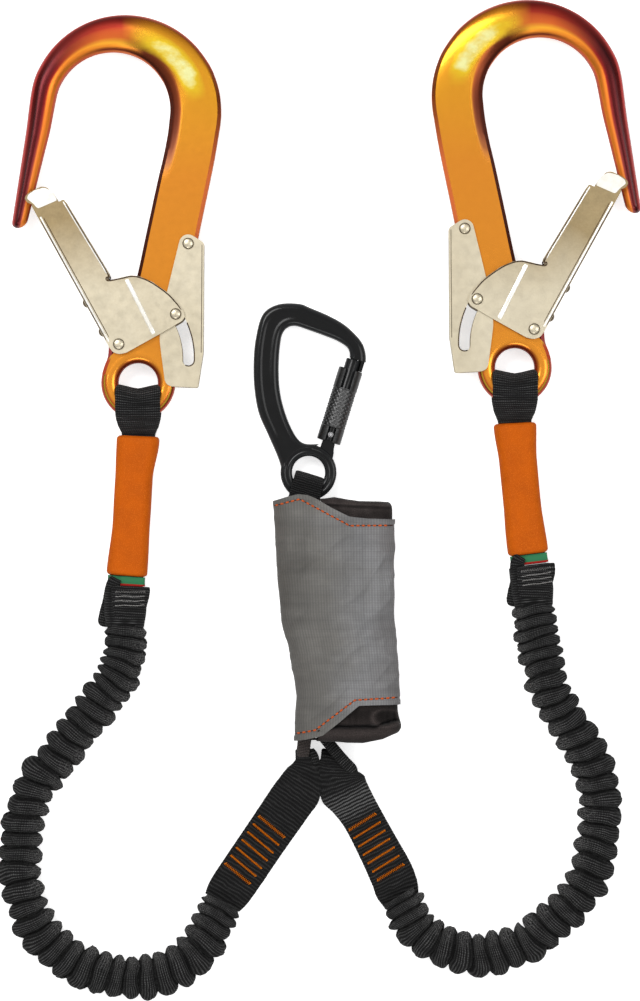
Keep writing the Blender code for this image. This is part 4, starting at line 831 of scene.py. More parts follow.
def elastic_arm(side, route, seed):
    prefix = SIDES[side]
    line = [(x, y, ARM_HEIGHT) for x, y in catmull(route, 0.45)]
    walked = lengths_along(line)
    # The gathers are close at both ends and open out along the arm; beats count them
    beats = [0.0]
    for a, b in zip(walked, walked[1:]):
        spacing = mix(*BEAT_SPACING, min(ramp(b, 16.0, 80.0), ramp(walked[-1] - b, 4.0, 30.0)))
        beats.append(beats[-1] + (b - a) / spacing)
    ahead = directions(line)
    rings, phases = [], []
    for i, (point, along) in enumerate(zip(line, ahead)):
        across = Vector((-along.y, along.x, 0.0))
        s = walked[i]
        near_end = min(ramp(s, -1.0, 4.5), ramp(walked[-1] - s, -1.0, 4.5))
        ring, row = [], []
        for k in range(ARM_COLUMNS):
            angle = 2.0 * math.pi * k / ARM_COLUMNS
            c, h = math.cos(angle), math.sin(angle)
            # The folds run over at a slant, steeper in the middle, and no two alike
            slant = 1.7 * side * math.sin(1.35 * c + 0.2) * (1.0 - 1.5 * ramp(s, 20.0, 70.0) + ramp(s, 150.0, 220.0))
            slant += 0.35 * math.sin(3.6 * c + 0.4 + 0.05 * s)
            slant *= 1.0 if h >= 0.0 else -0.4
            drift = 2.6 * wobble(0.04 * s, 0.15 * c, 0.3 * h, seed) + 1.1 * wobble(0.14 * s, 0.9 * c, h, seed + 3.0)
            phase = beats[i] + (slant + drift) / LOBE_PITCH
            turn = phase - math.floor(phase)
            swell = abs(math.sin(math.pi * turn)) ** (0.5 + 0.06 * abs(c) ** 3)
            order = math.floor(phase)
            # Each lobe has its own height, and some reach further on one side
            own = 0.24 * wobble(order * 1.7, 3.1 * side, 0.0, seed) + 0.34 * c * wobble(order * 2.3, 0.0, 5.0, seed)
            crease = wobble(0.55 * s, 2.6 * c, 2.6 * h, seed + 9.0)
            fold = mix(0.12, swell * (1.0 + own) + 0.08 * crease, near_end)
            half_width = 7.3 + 6.0 * fold
            half_thickness = 3.4 + 4.7 * fold
            if near_end < 1.0:
                half_width = mix(11.0, half_width, near_end)
                half_thickness = mix(6.2, half_thickness, near_end)
            w = half_width * math.copysign(abs(c) ** 0.86, c)
            up = half_thickness * math.copysign(abs(h) ** 0.86, h)
            # The lobe's crest leans along the arm, as pleats pushed over
            lean = 0.9 * (swell - 0.5) * max(0.0, h) * near_end
            up = max(up, 0.12 - ARM_HEIGHT)
            place = Vector(point) + across * w + along * lean + Vector((0.0, 0.0, up))
            ring.append(tuple(place))
            row.append(phase * LOBE_PITCH)
        rings.append(ring)
        phases.append(row)

    def place(i, k):
        # The count across starts on the inner side of each arm's main bend
        return (ARM_AROUND * (k / ARM_COLUMNS + (0.5 if side > 0 else 0.0)), phases[i][k % ARM_COLUMNS])

    made = loft(prefix + "gathered_arm", rings, ELASTIC, place=place)
    dress(shaded(made, 75.0), prefix + "arm", "black_webbing", prefix + "elastic_arm")
    path = [tuple(c * MM for c in point) for point in (*line[::12], line[-1])]
    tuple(path[0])


elastic_arm(-1, LEFT_ARM_ROUTE, 1.0)
elastic_arm(1, RIGHT_ARM_ROUTE, 5.0)


# Floor, lights and the surroundings


def make_studio():
    bm = bmesh.new()
    bmesh.ops.create_grid(bm, x_segments=1, y_segments=1, size=6.0)
    floor = finish_mesh("floor", bm)
    floor.location.z = -0.0004
    surface = bpy.data.materials.new("pale_floor")
    surface.use_nodes = True
    tree = surface.node_tree
    shader = tree.nodes["Principled BSDF"]
    shader.inputs["Base Color"].default_value = (0.9, 0.9, 0.9, 1.0)
    shader.inputs["Roughness"].default_value = 0.9
    shader.inputs["Specular IOR Level"].default_value = 0.0
    # Seen directly, the floor glows a little, so that its lit part is white and its shadows stay soft
    glow, lit, chosen, rays = (tree.nodes.new("ShaderNode" + kind) for kind in (
        "Emission", "AddShader", "MixShader", "LightPath"))
    glow.inputs["Strength"].default_value = 0.62
    for source, target in (
        (shader.outputs[0], lit.inputs[0]), (glow.outputs[0], lit.inputs[1]),
        (rays.outputs["Is Camera Ray"], chosen.inputs["Fac"]), (shader.outputs[0], chosen.inputs[1]),
        (lit.outputs[0], chosen.inputs[2]), (chosen.outputs[0], tree.nodes["Material Output"].inputs["Surface"]),
    ):
        tree.links.new(source, target)
    floor.data.materials.append(surface)

    world = bpy.data.worlds.new("studio")
    bpy.context.scene.world = world
    world.use_nodes = True
    tree = world.node_tree
    back = tree.nodes["Background"]
    place = tree.nodes.new("ShaderNodeTexCoord")
    split = tree.nodes.new("ShaderNodeSeparateXYZ")
    band = tree.nodes.new("ShaderNodeValToRGB")
    tree.links.new(place.outputs["Generated"], split.inputs[0])
    tree.links.new(split.outputs["Z"], band.inputs["Fac"])
    tree.links.new(band.outputs["Color"], back.inputs["Color"])
    set_stops(band.color_ramp, [(0.0, 0.2), (0.55, 0.42), (1.0, 1.0)])
    back.inputs["Strength"].default_value = 0.75

    for name, place, size, power in (
        ("key_light", (-1.0, 1.2, 2.2), (1.4, 1.0), 34.0),
        ("fill_light", (1.4, 0.2, 2.0), (1.0, 1.4), 14.0),
        ("low_light", (-0.2, -1.6, 1.6), (1.6, 0.6), 10.0),
    ):
        data = bpy.data.lights.new(name, "AREA")
        data.shape = "RECTANGLE"
        data.size, data.size_y = size
        data.energy = power
        lamp = bpy.data.objects.new(name, data)
        lamp.location = place
        aim = Vector((0.0, 0.07, 0.0)) - Vector(place)
        lamp.rotation_euler = aim.to_track_quat("-Z", "Y").to_euler()
        bpy.context.scene.collection.objects.link(lamp)
    bpy.context.scene.view_settings.view_transform = "Standard"


make_studio()


# Scaffold hooks, in their own plane: origin at the centre of the outer bend, u towards the spine, v up

HOOK_HEIGHT = 11.5
NOSE_INNER = (-58.3, -65.0)
NOSE_OUTER = (-67.8, -66.3)
EYE_HOLE = 11.75
GATE_PIVOT = (-3.5, -140.0)
GUIDE_PIN = (30.5, -122.0)
LEVER_PIVOT = (37.9, -79.8)
GATE_TRAVEL = 42.0
LEVER_TRAVEL = 3.5
SHEET = 1.5
LEVER_FACE = 6.3
GATE_FACE = 8.1
RIVET_SHANK = 2.5
RIVET_HOLE = 2.8
RIVET_HEAD = 3.4
GUIDE_ROOM = 3.1
SPRING_SEAT = 4.4
SPRING_SEAT_LOW = 4.3
THROUGH = 60.0

ORANGE = orange_anodised()
STEEL = nickel_steel()
GATE_STEEL = nickel_steel("gate_steel", 0.95)
HIGHLIGHT_STEEL = highlight_steel()
SHADE_STEEL = shade_steel()


class HookPlane:
    """One hook's plane: side -1 is the left hook, +1 the right one."""

    def __init__(self, side):
        self.side = side
        self.name = SIDES[side]
        self.base_y = HOOK_LEFT_Y + (HOOK_RIGHT_RISE if side > 0 else 0.0)

    def at(self, point, height=0.0):
        return (self.side * (HOOK_OFFSET_X - point[0]), self.base_y + point[1], HOOK_HEIGHT + height)

    def slab(self, name, outline, reach, surface=None):
        """A plate that reaches as far to both sides of the hook's middle."""
        points = [self.at(p)[:2] for p in outline]
        return plate(name, points, HOOK_HEIGHT - reach, HOOK_HEIGHT + reach, surface)

    def hole(self, point, radius=RIVET_HOLE, low=-THROUGH, segments=32):
        return peg("hole", self.at(point), radius, HOOK_HEIGHT + low, HOOK_HEIGHT + THROUGH, segments)


def oval(half_width, half_thickness, power, count):
    """A superellipse as (across, up) points."""
    points = []
    for k in range(count):
        angle = 2.0 * math.pi * k / count
        c, s = math.cos(angle), math.sin(angle)
        points.append((
            half_width * math.copysign(abs(c) ** (2.0 / power), c),
            half_thickness * math.copysign(abs(s) ** (2.0 / power), s),
        ))
    return points


def cut_rectangle(half_width, half_thickness, cut):
    """A rectangle with cut corners, as 72 (across, up) points matched to those of the oval."""
    quarter = [(half_width, (half_thickness - cut) * j / 3.0) for j in range(3)]
    quarter += [(half_width - cut * j / 4.0, half_thickness - cut * (1.0 - j / 4.0)) for j in range(4)]
    quarter += [((half_width - cut) * (1.0 - j / 11.0), half_thickness) for j in range(11)]
    half = quarter + [(0.0, half_thickness)] + [(-w, h) for w, h in reversed(quarter[1:])]
    return half + [(-w, -h) for w, h in half]


HOOK_COLUMNS = 72
# Half the forging's thickness at the nose, on the limb and on the spine
NOSE_HALF, LIMB_HALF, SPINE_HALF = 5.6, 7.5, 5.9
SLOPE_WIDTH = 6.4
# The middle of the bend's inner edge; that of the outer edge is the origin
BEND_INNER = (-7.5, 0.6)
# Below the bend: v, and u of the inner and the outer edge
SPINE = [
    (-15.0, 25.4, 55.9), (-28.0, 22.9, 53.7), (-42.0, 19.6, 50.9), (-71.0, 13.3, 44.8), (-95.0, 8.2, 40.0),
    (-112.0, 4.0, 36.7), (-124.0, -0.5, 34.5), (-130.0, -3.6, 33.6), (-134.5, -7.0, 32.9), (-138.5, -9.5, 32.3),
    (-143.0, -9.8, 31.7), (-148.0, -10.4, 31.0), (-153.0, -12.4, 30.0), (-158.0, -13.8, 29.4),
]


def hook_body_rings(plane):
    """Sections from the nose to the eye: round on the limb, flat with bevelled edges on the spine."""
    stations = []
    nose_middle = mix(NOSE_INNER, NOSE_OUTER, 0.5)
    start = (-42.0, 0.6), (-57.6, 0.0)
    down = unit(*(a - b for a, b in zip(nose_middle, mix(*start, 0.5))))
    for lift in (86.0, 74.0, 60.0, 45.0, 30.0, 15.0):
        shrink = math.cos(math.radians(lift))
        shift = 4.6 * math.sin(math.radians(lift))
        ends = [
            tuple(m + (e - m) * shrink + d * shift for m, e, d in zip(nose_middle, edge, down))
            for edge in (NOSE_INNER, NOSE_OUTER)
        ]
        stations.append((*ends[0], *ends[1], NOSE_HALF * shrink, 0.0))
    # Sparse stations leave out the joints of the straight parts, so that the curve runs smoothly through
    nodes = []
    for share in (0.0, 0.3, 0.6, 0.82):
        edges = *mix(NOSE_INNER, start[0], share), *mix(NOSE_OUTER, start[1], share)
        nodes.append((*edges, mix(NOSE_HALF, LIMB_HALF, share), 0.0))
    for degrees in (165, 150, 135, 120, 105, 90, 75, 60, 45, 30, 20, 10, 0, -8):
        fade = ramp(75.0 - degrees, 0.0, 95.0)
        edges = *polar(BEND_INNER, 34.5, degrees), *polar((0.0, 0.0), 57.6, degrees)
        nodes.append((*edges, mix(LIMB_HALF, SPINE_HALF, fade), fade))
    for v, inner, outer in SPINE:
        nodes.append((inner, v, outer, v, SPINE_HALF, min(1.0, ramp(75.0, 0.0, 95.0) - v / 20.0)))
    stations += catmull(nodes, 3.2)
    rings = []
    for *edges, thick, flat in stations:
        a, b = plane.at(edges[:2]), plane.at(edges[2:])
        half = math.dist(a[:2], b[:2]) / 2.0
        # Above the opening the flat face falls away to its inner edge over a broad slope
        fall = 0.5 * flat * ramp(edges[1], -46.0, -2.0)
        # A flat spine: the oval's points move out to a rectangle with cut corners
        points = []
        for (w, h), (sw, sh) in zip(oval(half, thick, 2.25, HOOK_COLUMNS), cut_rectangle(half, thick, 2.2)):
            w, h = mix(w, sw, flat), mix(h, sh, flat)
            points.append((w, h * (1.0 - fall * max(0.0, 1.0 - (half + w) / SLOPE_WIDTH) ** 1.15)))
        rings.append(ring_between(a, b, points, HOOK_HEIGHT))
    return rings


def guide_way():
    """The hollow of the spine in which the guide rivet swings about the gate's pivot."""
    near = math.dist(GATE_PIVOT, GUIDE_PIN) - GUIDE_ROOM
    first = math.degrees(math.atan2(GUIDE_PIN[1] - GATE_PIVOT[1], GUIDE_PIN[0] - GATE_PIVOT[0])) + 6.0
    last = first - GATE_TRAVEL - 10.0
    way = [polar(GATE_PIVOT, near, mix(first, last, k / 16.0)) for k in range(17)]
    return way + [polar(GATE_PIVOT, 1.7 * near, last), polar(GATE_PIVOT, 1.7 * near, first)]


def hook_body(plane):
    name = plane.name
    body = loft(name + "hook_body_form", hook_body_rings(plane), ORANGE)
    band = (EYE_OUTER + EYE_HOLE) / 2.0
    body = combine(body, [plane.hole(EYE_CENTRE, band, segments=72), plane.slab("way", guide_way(), THROUGH)])
    profile = [(band + w, h) for w, h in section((EYE_OUTER - EYE_HOLE) / 2.0, 6.0, 4.6, 7)]
    body = combine(body, [turned("eye", profile, 72, None, plane.at(EYE_CENTRE))], "UNION")
    cuts = []
    for pivot in (GATE_PIVOT, LEVER_PIVOT):
        cuts += [plane.hole(pivot, segments=24), plane.hole(pivot, SPRING_SEAT, SPRING_SEAT_LOW)]
    body = combine(body, cuts)
    body.name = body.data.name = name + "hook_forging"
    dress(shaded(body, 32.0), name + "hook", "orange_anodised", name + "hook_body")


for hook_side in (-1, 1):
    hook_body(HookPlane(hook_side))


# Gates, lock levers and rivets

GATE_LEFT_LOW = (-9.3, -141.9)
GATE_LEFT_HIGH = (-55.5, -57.6)
GATE_OUTLINE = [
    GATE_LEFT_LOW, (-9.9, -140.6), GATE_LEFT_HIGH, (-55.0, -56.7), (-58.3, -55.4), (-59.8, -52.8),
    (-58.3, -50.4), (-53.1, -47.4), (-49.4, -45.8), (-45.8, -46.6), (-42.0, -51.3), (-39.6, -55.2),
    (-36.3, -53.4), (-9.2, -98.1), (-10.7, -100.2), (-10.2, -102.6), (-2.1, -100.2), (3.9, -98.9), (9.3, -99.7),
    (16.5, -102.8), (25.7, -109.2), (31.5, -115.2), (35.4, -120.3), (36.0, -123.9), (34.2, -126.3),
    (20.1, -134.5), (0.9, -145.2), (-3.3, -146.0), (-6.9, -144.9),
]
LEVER_OUTLINE = [
    (47.3, -79.3), (47.1, -113.0), (46.9, -144.9), (43.7, -165.4), (42.6, -165.9), (27.5, -165.2),
    (25.0, -163.8), (23.9, -161.5), (22.1, -147.8), (20.9, -138.0), (21.3, -128.0), (25.3, -108.7),
]


def rounded(outline, radius=1.2, steps=3):
    """The outline with each corner cut to a small arc."""
    found = []
    count = len(outline)
    for k in range(count):
        before, here, after = (Vector(outline[(k + j) % count]) for j in (-1, 0, 1))
        back, on = before - here, after - here
        reach = min(radius, 0.4 * back.length, 0.4 * on.length)
        a, b = here + back.normalized() * reach, here + on.normalized() * reach
        for j in range(steps + 1):
            t = j / steps
            found.append(tuple(a * (1 - t) ** 2 + here * 2 * t * (1 - t) + b * t * t))
    return found


def slot_outline():
    """The lever's slot: the way of the guide rivet, as the gate and the lever turn together."""
    half = 3.6
    way = [
        turn_about(turn_about(GUIDE_PIN, GATE_PIVOT, -turned_by), LEVER_PIVOT, LEVER_TRAVEL / GATE_TRAVEL * turned_by)
        for turned_by in (GATE_TRAVEL * k / 20.0 for k in range(21))
    ]
    left, right = [], []
    for k, point in enumerate(way):
        tangent = heading(way, k)
        left.append((point[0] - tangent[1] * half, point[1] + tangent[0] * half))
        right.append((point[0] + tangent[1] * half, point[1] - tangent[0] * half))
    start_cap = [turn_about(right[0], way[0], -20.0 * k) for k in range(1, 9)]
    end_cap = [turn_about(left[-1], way[-1], -20.0 * k) for k in range(1, 9)]
    return left + end_cap + right[::-1] + start_cap


RIDGE_COLUMNS = (-1.0, -0.7, -0.35, 0.0, 0.35, 0.7, 1.0)
CREASE_COLUMNS = (-1.0, -0.5, 0.0, 0.5, 1.0)


def ridges(plane, name, points, half, base, height, surface, body, columns=RIDGE_COLUMNS, start=0.3):
    """A low ridge along points of the hook's plane, on both cheeks; it starts at a share of its height."""
    line = catmull(points, 0.8)
    last = len(line) - 1
    for face, side in FACES.items():
        rings = []
        for k, point in enumerate(line):
            t = heading(line, k)
            fade = min(1.0, 9.0 * min(k, last - k) / len(line) + start)
            rings.append([
                plane.at((point[0] - t[1] * w * half, point[1] + t[0] * w * half),
                         face * (base + height * fade * (1.0 - w ** 4)))
                for w in columns
            ])
        made = loft(f"{plane.name}{name}_{side}", rings, surface, closed=False)
        dress(shaded(made, 80.0), plane.name + body, "nickel_steel")


def gate(plane):
    name = plane.name
    outer = GATE_FACE + SHEET
    made = plane.slab(name + "gate_sheet", rounded(GATE_OUTLINE), outer, GATE_STEEL)
    along = unit(GATE_LEFT_HIGH[0] - GATE_LEFT_LOW[0], GATE_LEFT_HIGH[1] - GATE_LEFT_LOW[1])
    inward = (along[1], -along[0])

    def wall_point(distance, depth):
        return tuple(p + a * distance + i * depth for p, a, i in zip(GATE_LEFT_LOW, along, inward))

    pocket = [
        wall_point(7.0, SHEET), wall_point(7.0, -4.0), (-30.0, -160.0), (70.0, -160.0), (70.0, -30.0),
        (-80.0, -30.0), wall_point(90.0, -4.0), wall_point(90.0, SHEET),
    ]
    made = combine(made, [
        plane.slab("pocket", pocket, GATE_FACE), plane.hole(GATE_PIVOT), plane.hole(GUIDE_PIN)])
    dress(shaded(bevelled(made, 0.5), 12.0), name + "gate", "nickel_steel", name + "gate")

    # On both cheeks: the pressed rib from the notch to the lower edge and the arm's two edges in painted highlight,
    # and dark folds in painted shade
    for label, points, half, height, surface in (
        ("rib", [(1.2, -101.4), (6.7, -112.4), (12.2, -123.4), (17.4, -133.8)], 1.4, 0.4, HIGHLIGHT_STEEL),
        ("lip", [(-36.7, -55.0), (-24.6, -75.0), (-10.8, -97.7)], 0.5, 0.35, HIGHLIGHT_STEEL),
        ("hem", [wall_point(d, 1.5) for d in (3.0, 20.0, 50.0, 88.0)], 0.7, 0.45, HIGHLIGHT_STEEL),
        ("crease", [wall_point(d, 2.9) for d in (5.0, 20.0, 50.0, 87.0)], 0.28, 0.3, SHADE_STEEL),
        ("foot", [wall_point(d, 0.55) for d in (4.0, 20.0, 50.0, 86.0)], 0.32, 0.3, SHADE_STEEL),
        ("roll", [
            (-35.9, -55.3), (-23.0, -76.6), (-10.1, -98.0), (-11.0, -100.2), (-9.9, -102.2), (-2.3, -100.9),
            (3.8, -99.6), (9.1, -100.3), (16.2, -103.4), (25.2, -109.7), (30.9, -115.6), (34.6, -120.6)],
            0.48, 0.25, SHADE_STEEL),
    ):
        ridges(plane, "gate_" + label, points, half, outer - 0.1, height, surface, "gate")
    # The tongue bent over at the tip, in painted highlight
    tongue = [
        (-40.9, -52.6), (-43.5, -48.4), (-47.9, -46.5), (-53.2, -47.9), (-57.5, -50.8), (-58.3, -53.2),
        (-54.4, -56.2), (-51.9, -59.2), (-40.4, -54.2),
    ]
    outline = [plane.at(p)[:2] for p in rounded(tongue, 1.4, 4)]
    for face, side in FACES.items():
        low, high = sorted((face * (outer - 0.4), face * (outer + 0.35)))
        bent = plate(
            f"{name}gate_tongue_{side}", outline, HOOK_HEIGHT + low, HOOK_HEIGHT + high, HIGHLIGHT_STEEL)
        dress(shaded(bevelled(bent, 0.3), 12.0), name + "gate", "nickel_steel")
    # Two stops pressed out of the arm's side wall, flat on its inner side
    into = Vector((-plane.side * inward[0], inward[1], 0.0))
    for k, distance in enumerate((30.1, 10.3)):
        bm = bmesh.new()
        bmesh.ops.create_uvsphere(bm, u_segments=32, v_segments=16, radius=3.2 * MM)
        for vert in bm.verts:
            vert.co -= into * max(0.0, vert.co.dot(into) + 0.4 * MM)
        at = Matrix.Translation(Vector(plane.at(wall_point(distance, 1.6))) * MM)
        bmesh.ops.transform(bm, matrix=at, verts=bm.verts)
        dress(shaded(finish_mesh(f"{name}gate_stop_{k + 1}", bm, STEEL)), name + "gate", "nickel_steel")


def lever(plane):
    name = plane.name
    outer = LEVER_FACE + SHEET
    top = [polar(LEVER_PIVOT, 5.4, degrees) for degrees in (165, 150, 135, 120, 105, 90, 78, 60)]
    made = plane.slab(name + "lever_sheet", rounded(top + LEVER_OUTLINE), outer, STEEL)
    back = LEVER_OUTLINE[0][0] - SHEET
    pocket = [
        (back, -86.0), (70.0, -86.0), (70.0, -50.0), (5.0, -50.0), (5.0, -180.0), (70.0, -180.0), (70.0, -158.0),
        (back - 2.5, -158.0), (back - 0.4, -144.9),
    ]
    slot = slot_outline()
    made = combine(made, [
        plane.slab("pocket", pocket, LEVER_FACE), plane.slab("slot", slot, THROUGH), plane.hole(LEVER_PIVOT)])
    dress(shaded(bevelled(made, 0.5), 12.0), name + "lock_lever", "nickel_steel", name + "lock_lever")
    # The slot's far wall and the folded long edge read as dark lines of painted shade
    fold = [(46.2, -80.5), (46.0, -113.0), (45.7, -145.0)]
    for part, points, half in (("slot_rim", slot[5:27], 0.42), ("fold", fold, 0.25)):
        ridges(plane, "lever_" + part, points, half, outer - 0.1, 0.25, SHADE_STEEL, "lock_lever", CREASE_COLUMNS, 1.0)


def rivet(name, plane, point, sheet_face, body):
    """A shank through both cheeks with a dome on each."""
    base = sheet_face + SHEET + 0.3
    half = [(0.0, base + 1.6)]
    for k in range(1, 9):
        angle = math.radians(90.0 * k / 8.0)
        half.append((RIVET_HEAD * math.sin(angle), base + 0.25 + 1.35 * math.cos(angle)))
    half += [(RIVET_HEAD, base), (RIVET_SHANK, base)]
    profile = half + [(r, -h) for r, h in reversed(half)]
    made = turned(name + "_dome", profile, 40, STEEL, plane.at(point))
    dress(shaded(made, 50.0), body, "nickel_steel", name)


for hook_side in (-1, 1):
    hook_plane = HookPlane(hook_side)
    prefix = hook_plane.name
    gate(hook_plane)
    lever(hook_plane)
    rivet(prefix + "gate_pivot_rivet", hook_plane, GATE_PIVOT, GATE_FACE, prefix + "hook")
    rivet(prefix + "guide_rivet", hook_plane, GUIDE_PIN, GATE_FACE, prefix + "gate")
    rivet(prefix + "lever_rivet", hook_plane, LEVER_PIVOT, LEVER_FACE, prefix + "hook")


# Straps: a flat woven band along frames of (centre, across, width)


def strap_section(columns):
    """A flat section with rounded edges, as (across, up) points from -1 to 1."""
    points = []
    for j in range(columns + 1):
        a = math.cos(math.pi * j / columns)
        points.append((a, (1.0 - a ** 8) ** 0.5))
    return points + [(a, -h) for a, h in reversed(points[1:-1])]


def strap(name, frames, thickness, surface, seed=0.0, fray=0.22, ripple=0.25, columns=22, dip=None):
    centres = [tuple(f[0]) for f in frames]
    walked = lengths_along(centres)
    profile = strap_section(columns)
    widths = [f[2] for f in frames]
    around = [(1.0 - a) / 2.0 if k <= columns else 1.0 + (1.0 + a) / 2.0 for k, (a, _) in enumerate(profile)]
    rings = []
    for (centre, across, width), ahead, s in zip(frames, directions(centres), walked):
        up = across.cross(ahead).normalized()
        ring = []
        for a, h in profile:
            w = a * width / 2.0
            if abs(a) > 0.97:
                w += math.copysign(fray * wobble(s / 0.8, 4.0 * a, 0.0, seed), a)
            lift = h * thickness / 2.0 + ripple * wobble(0.09 * s, 1.2 * a, 0.0, seed)
            at = centre + across * w + up * lift
            ring.append(tuple(at + dip(centre, a) if dip else at))
        rings.append(ring)

    def place(i, k):
        share = 2.0 if k == len(profile) else around[k]
        return (share * widths[i], walked[i])

    return shaded(loft(name, rings, surface, place=place), 60.0)


def fold_frames(stations, thickness, reach, spacing=0.5, pinch=0.0):
    """Frames along the upper ply, round the fold and back along the lower ply.

    A station is (x, y, height, half gap between the plies, width, across x, across y).
    """
    line = catmull(stations, spacing)

    def ply(station, sign):
        x, y, z, gap, width, ax, ay = station
        return Vector((x, y, z + sign * (gap + thickness / 2.0))), Vector((ax, ay, 0.0)).normalized(), width

    x, y, z, gap, width, ax, ay = line[0]
    across = Vector((ax, ay, 0.0)).normalized()
    ahead = Vector((-across.y, across.x, 0.0))
    radius, stretch = gap + thickness / 2.0, reach * gap + thickness / 2.0
    steps = max(8, round(math.pi * stretch / spacing))
    fold = []
    for k in range(1, steps):
        angle = math.radians(90.0 - 180.0 * k / steps)
        forward, rise = math.cos(angle), math.sin(angle)
        fold.append((
            Vector((x, y, z)) + ahead * (stretch * forward) + Vector((0.0, 0.0, radius * rise)), across,
            width * (1.0 - pinch * max(0.0, 2.0 * forward - 1.0))))
    return [ply(p, 1) for p in reversed(line)] + fold + [ply(p, -1) for p in line]


def band_frames(points, spacing=0.5):
    """Frames that lie level across along points of (x, y, z, width)."""
    line = catmull(points, spacing)
    ahead = directions([p[:3] for p in line])
    return [(Vector(p[:3]), Vector((-t.y, t.x, 0.0)).normalized(), p[3]) for p, t in zip(line, ahead)]


class Stem:
    """The line of a leg from the hook's eye to the cuff."""

    def __init__(self, *points):
        self.top = points[0][1]
        self.line = catmull(points, 2.0)

    def at(self, y):
        for before, after in zip(self.line, self.line[1:]):
            if before[1] >= y >= after[1]:
                share = (before[1] - y) / (before[1] - after[1])
                along = unit(after[0] - before[0], after[1] - before[1])
                return mix(before, after, share), (-along[1], along[0])
        last = self.line[-1]
        along = unit(last[0] - self.line[-2][0], last[1] - self.line[-2][1])
        return last, (-along[1], along[0])

    def ring(self, y, z, points):
        (x, at_y), (ax, ay) = self.at(y)
        return [(x + ax * w, at_y + ay * w, z + h) for w, h in points]


LEFT_STEM = Stem(
    (-112.8, 128.5), (-113.0, 106.0), (-115.3, 85.8), (-117.3, 52.8), (-119.9, 24.0), (-120.6, 10.0), (-121.0, -5.4),
    (-121.3, -12.0))
RIGHT_STEM = Stem(
    (112.8, 137.5), (113.1, 115.0), (115.2, 90.6), (118.4, 58.2), (121.2, 36.5), (122.9, 22.0), (124.2, 7.6),
    (124.8, 0.0))
GRIP_HEIGHT = 7.1
STEM_BORE = (10.3, 2.7, 0.6)
LOOP_THICKNESS = 2.2


def hook_loop(prefix, stem, neck_y, end_y, seed):
    """The webbing round the hook's eye, drawn together to the stem inside the grip."""
    stations = []
    for below, gap, width, drop in (
        (0.0, 8.3, 1.0, 0.0), (0.34, 7.0, 1.0, 0.0), (0.53, 4.7, 0.97, 0.05), (0.72, 2.7, 0.9, 0.4),
        (0.87, 0.9, 0.8, 0.85), (1.0, 0.2, 0.744, 1.0),
    ):
        (x, y), across = stem.at(mix(stem.top, neck_y, below))
        stations.append((x, y, mix(HOOK_HEIGHT, GRIP_HEIGHT, drop), gap, 26.9 * width, *across))
    for k in range(1, 9):
        (x, y), across = stem.at(mix(neck_y, end_y, k / 8.0))
        stations.append((x, y, GRIP_HEIGHT, 0.2, 20.0, *across))
    (x, y), (ax, ay) = stem.at(stem.top)
    ahead = Vector((-ay, ax, 0.0))

    def dip(centre, a):
        # The fold sags in its middle, between pointed corners
        reach = (centre - Vector((x, y, centre.z))).dot(ahead)
        return ahead * (-3.0 * (1.0 - abs(a) ** 1.2) * ramp(reach, -9.0, 9.4))

    made = strap(prefix + "eye_webbing", fold_frames(stations, LOOP_THICKNESS, 1.0, 0.5, 0.03), LOOP_THICKNESS,
                 WEBBING, seed, dip=dip)
    dress(made, prefix + "arm", "black_webbing", prefix + "hook_loop")


def grip_sleeve(prefix, stem, ends, seed):
    """An oval sleeve with rolled ends."""
    high, low = ends
    rows = []
    for k in range(9):
        angle = math.radians(90.0 * k / 8.0)
        rows.append((high - 2.2 * (1.0 - math.cos(angle)), 2.2 * (1.0 - math.sin(angle))))
    rows += [(mix(high - 2.2, low + 2.2, k / 60.0), 0.0) for k in range(1, 60)]
    rows += [(high + low - y, trim) for y, trim in reversed(rows[:9])]
    outer, inner = [], []
    for y, trim in rows:
        # Broad at both ends and drawn in between
        along = (high - y) / (high - low)
        waist = 1.55 * ramp(along, 0.02, 0.3) - 0.9 * ramp(along, 0.62, 0.97)
        bulge = 0.2 * wobble(0.05 * y, 0.0, 0.0, seed) - waist
        ring = section(12.8 - trim + bulge, 7.0 - trim, 6.2, 10)
        ring = [(w, h + 0.12 * wobble(0.12 * y, 0.16 * w, h, seed)) for w, h in ring]
        outer.append(stem.ring(y, GRIP_HEIGHT, ring))
        inner.append(stem.ring(y, GRIP_HEIGHT, section(*STEM_BORE, 10)))
    made = loft(prefix + "sleeve_tube", outer, SLEEVE, inner=inner)
    dress(shaded(made, 50.0), prefix + "arm", "orange_sleeve", prefix + "grip_sleeve")


def label(prefix, stem, ends, seed):
    high, low = ends

    def band(name, top, bottom, half_width, half_thickness, surface, slot):
        count = max(2, round((top - bottom) / 0.4))
        outer, inner = [], []
        for k in range(count + 1):
            y = mix(top, bottom, k / count)
            ripple = 0.15 * wobble(0.6 * y, 0.0, 0.0, seed)
            outer.append(stem.ring(y, GRIP_HEIGHT, section(half_width + ripple, half_thickness, 1.2, 4)))
            inner.append(stem.ring(y, GRIP_HEIGHT, section(*STEM_BORE, 4)))
        made = shaded(loft(name, outer, surface, inner=inner), 50.0)
        return dress(made, prefix + "arm", slot)

    cloth = band(prefix + "label_band", high, low + 1.2, 11.1, 3.5, LABEL, "green_label")
    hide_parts(prefix + "label")
    band(prefix + "label_hem", low + 1.2, low, 11.3, 3.7, RED_THREAD, "green_label")


hook_loop("left_", LEFT_STEM, 107.7, 17.3, 2.0)
hook_loop("right_", RIGHT_STEM, 115.5, 30.3, 6.0)
grip_sleeve("left_", LEFT_STEM, (107.4, 23.6), 2.0)
grip_sleeve("right_", RIGHT_STEM, (115.2, 36.6), 7.0)
label("left_", LEFT_STEM, (23.2, 17.6), 1.0)
label("right_", RIGHT_STEM, (36.2, 30.6), 3.0)


# Arm loops with their bar tacks, and the tie strap through both

LOOP_HEIGHT = 4.8
TACKS = 7


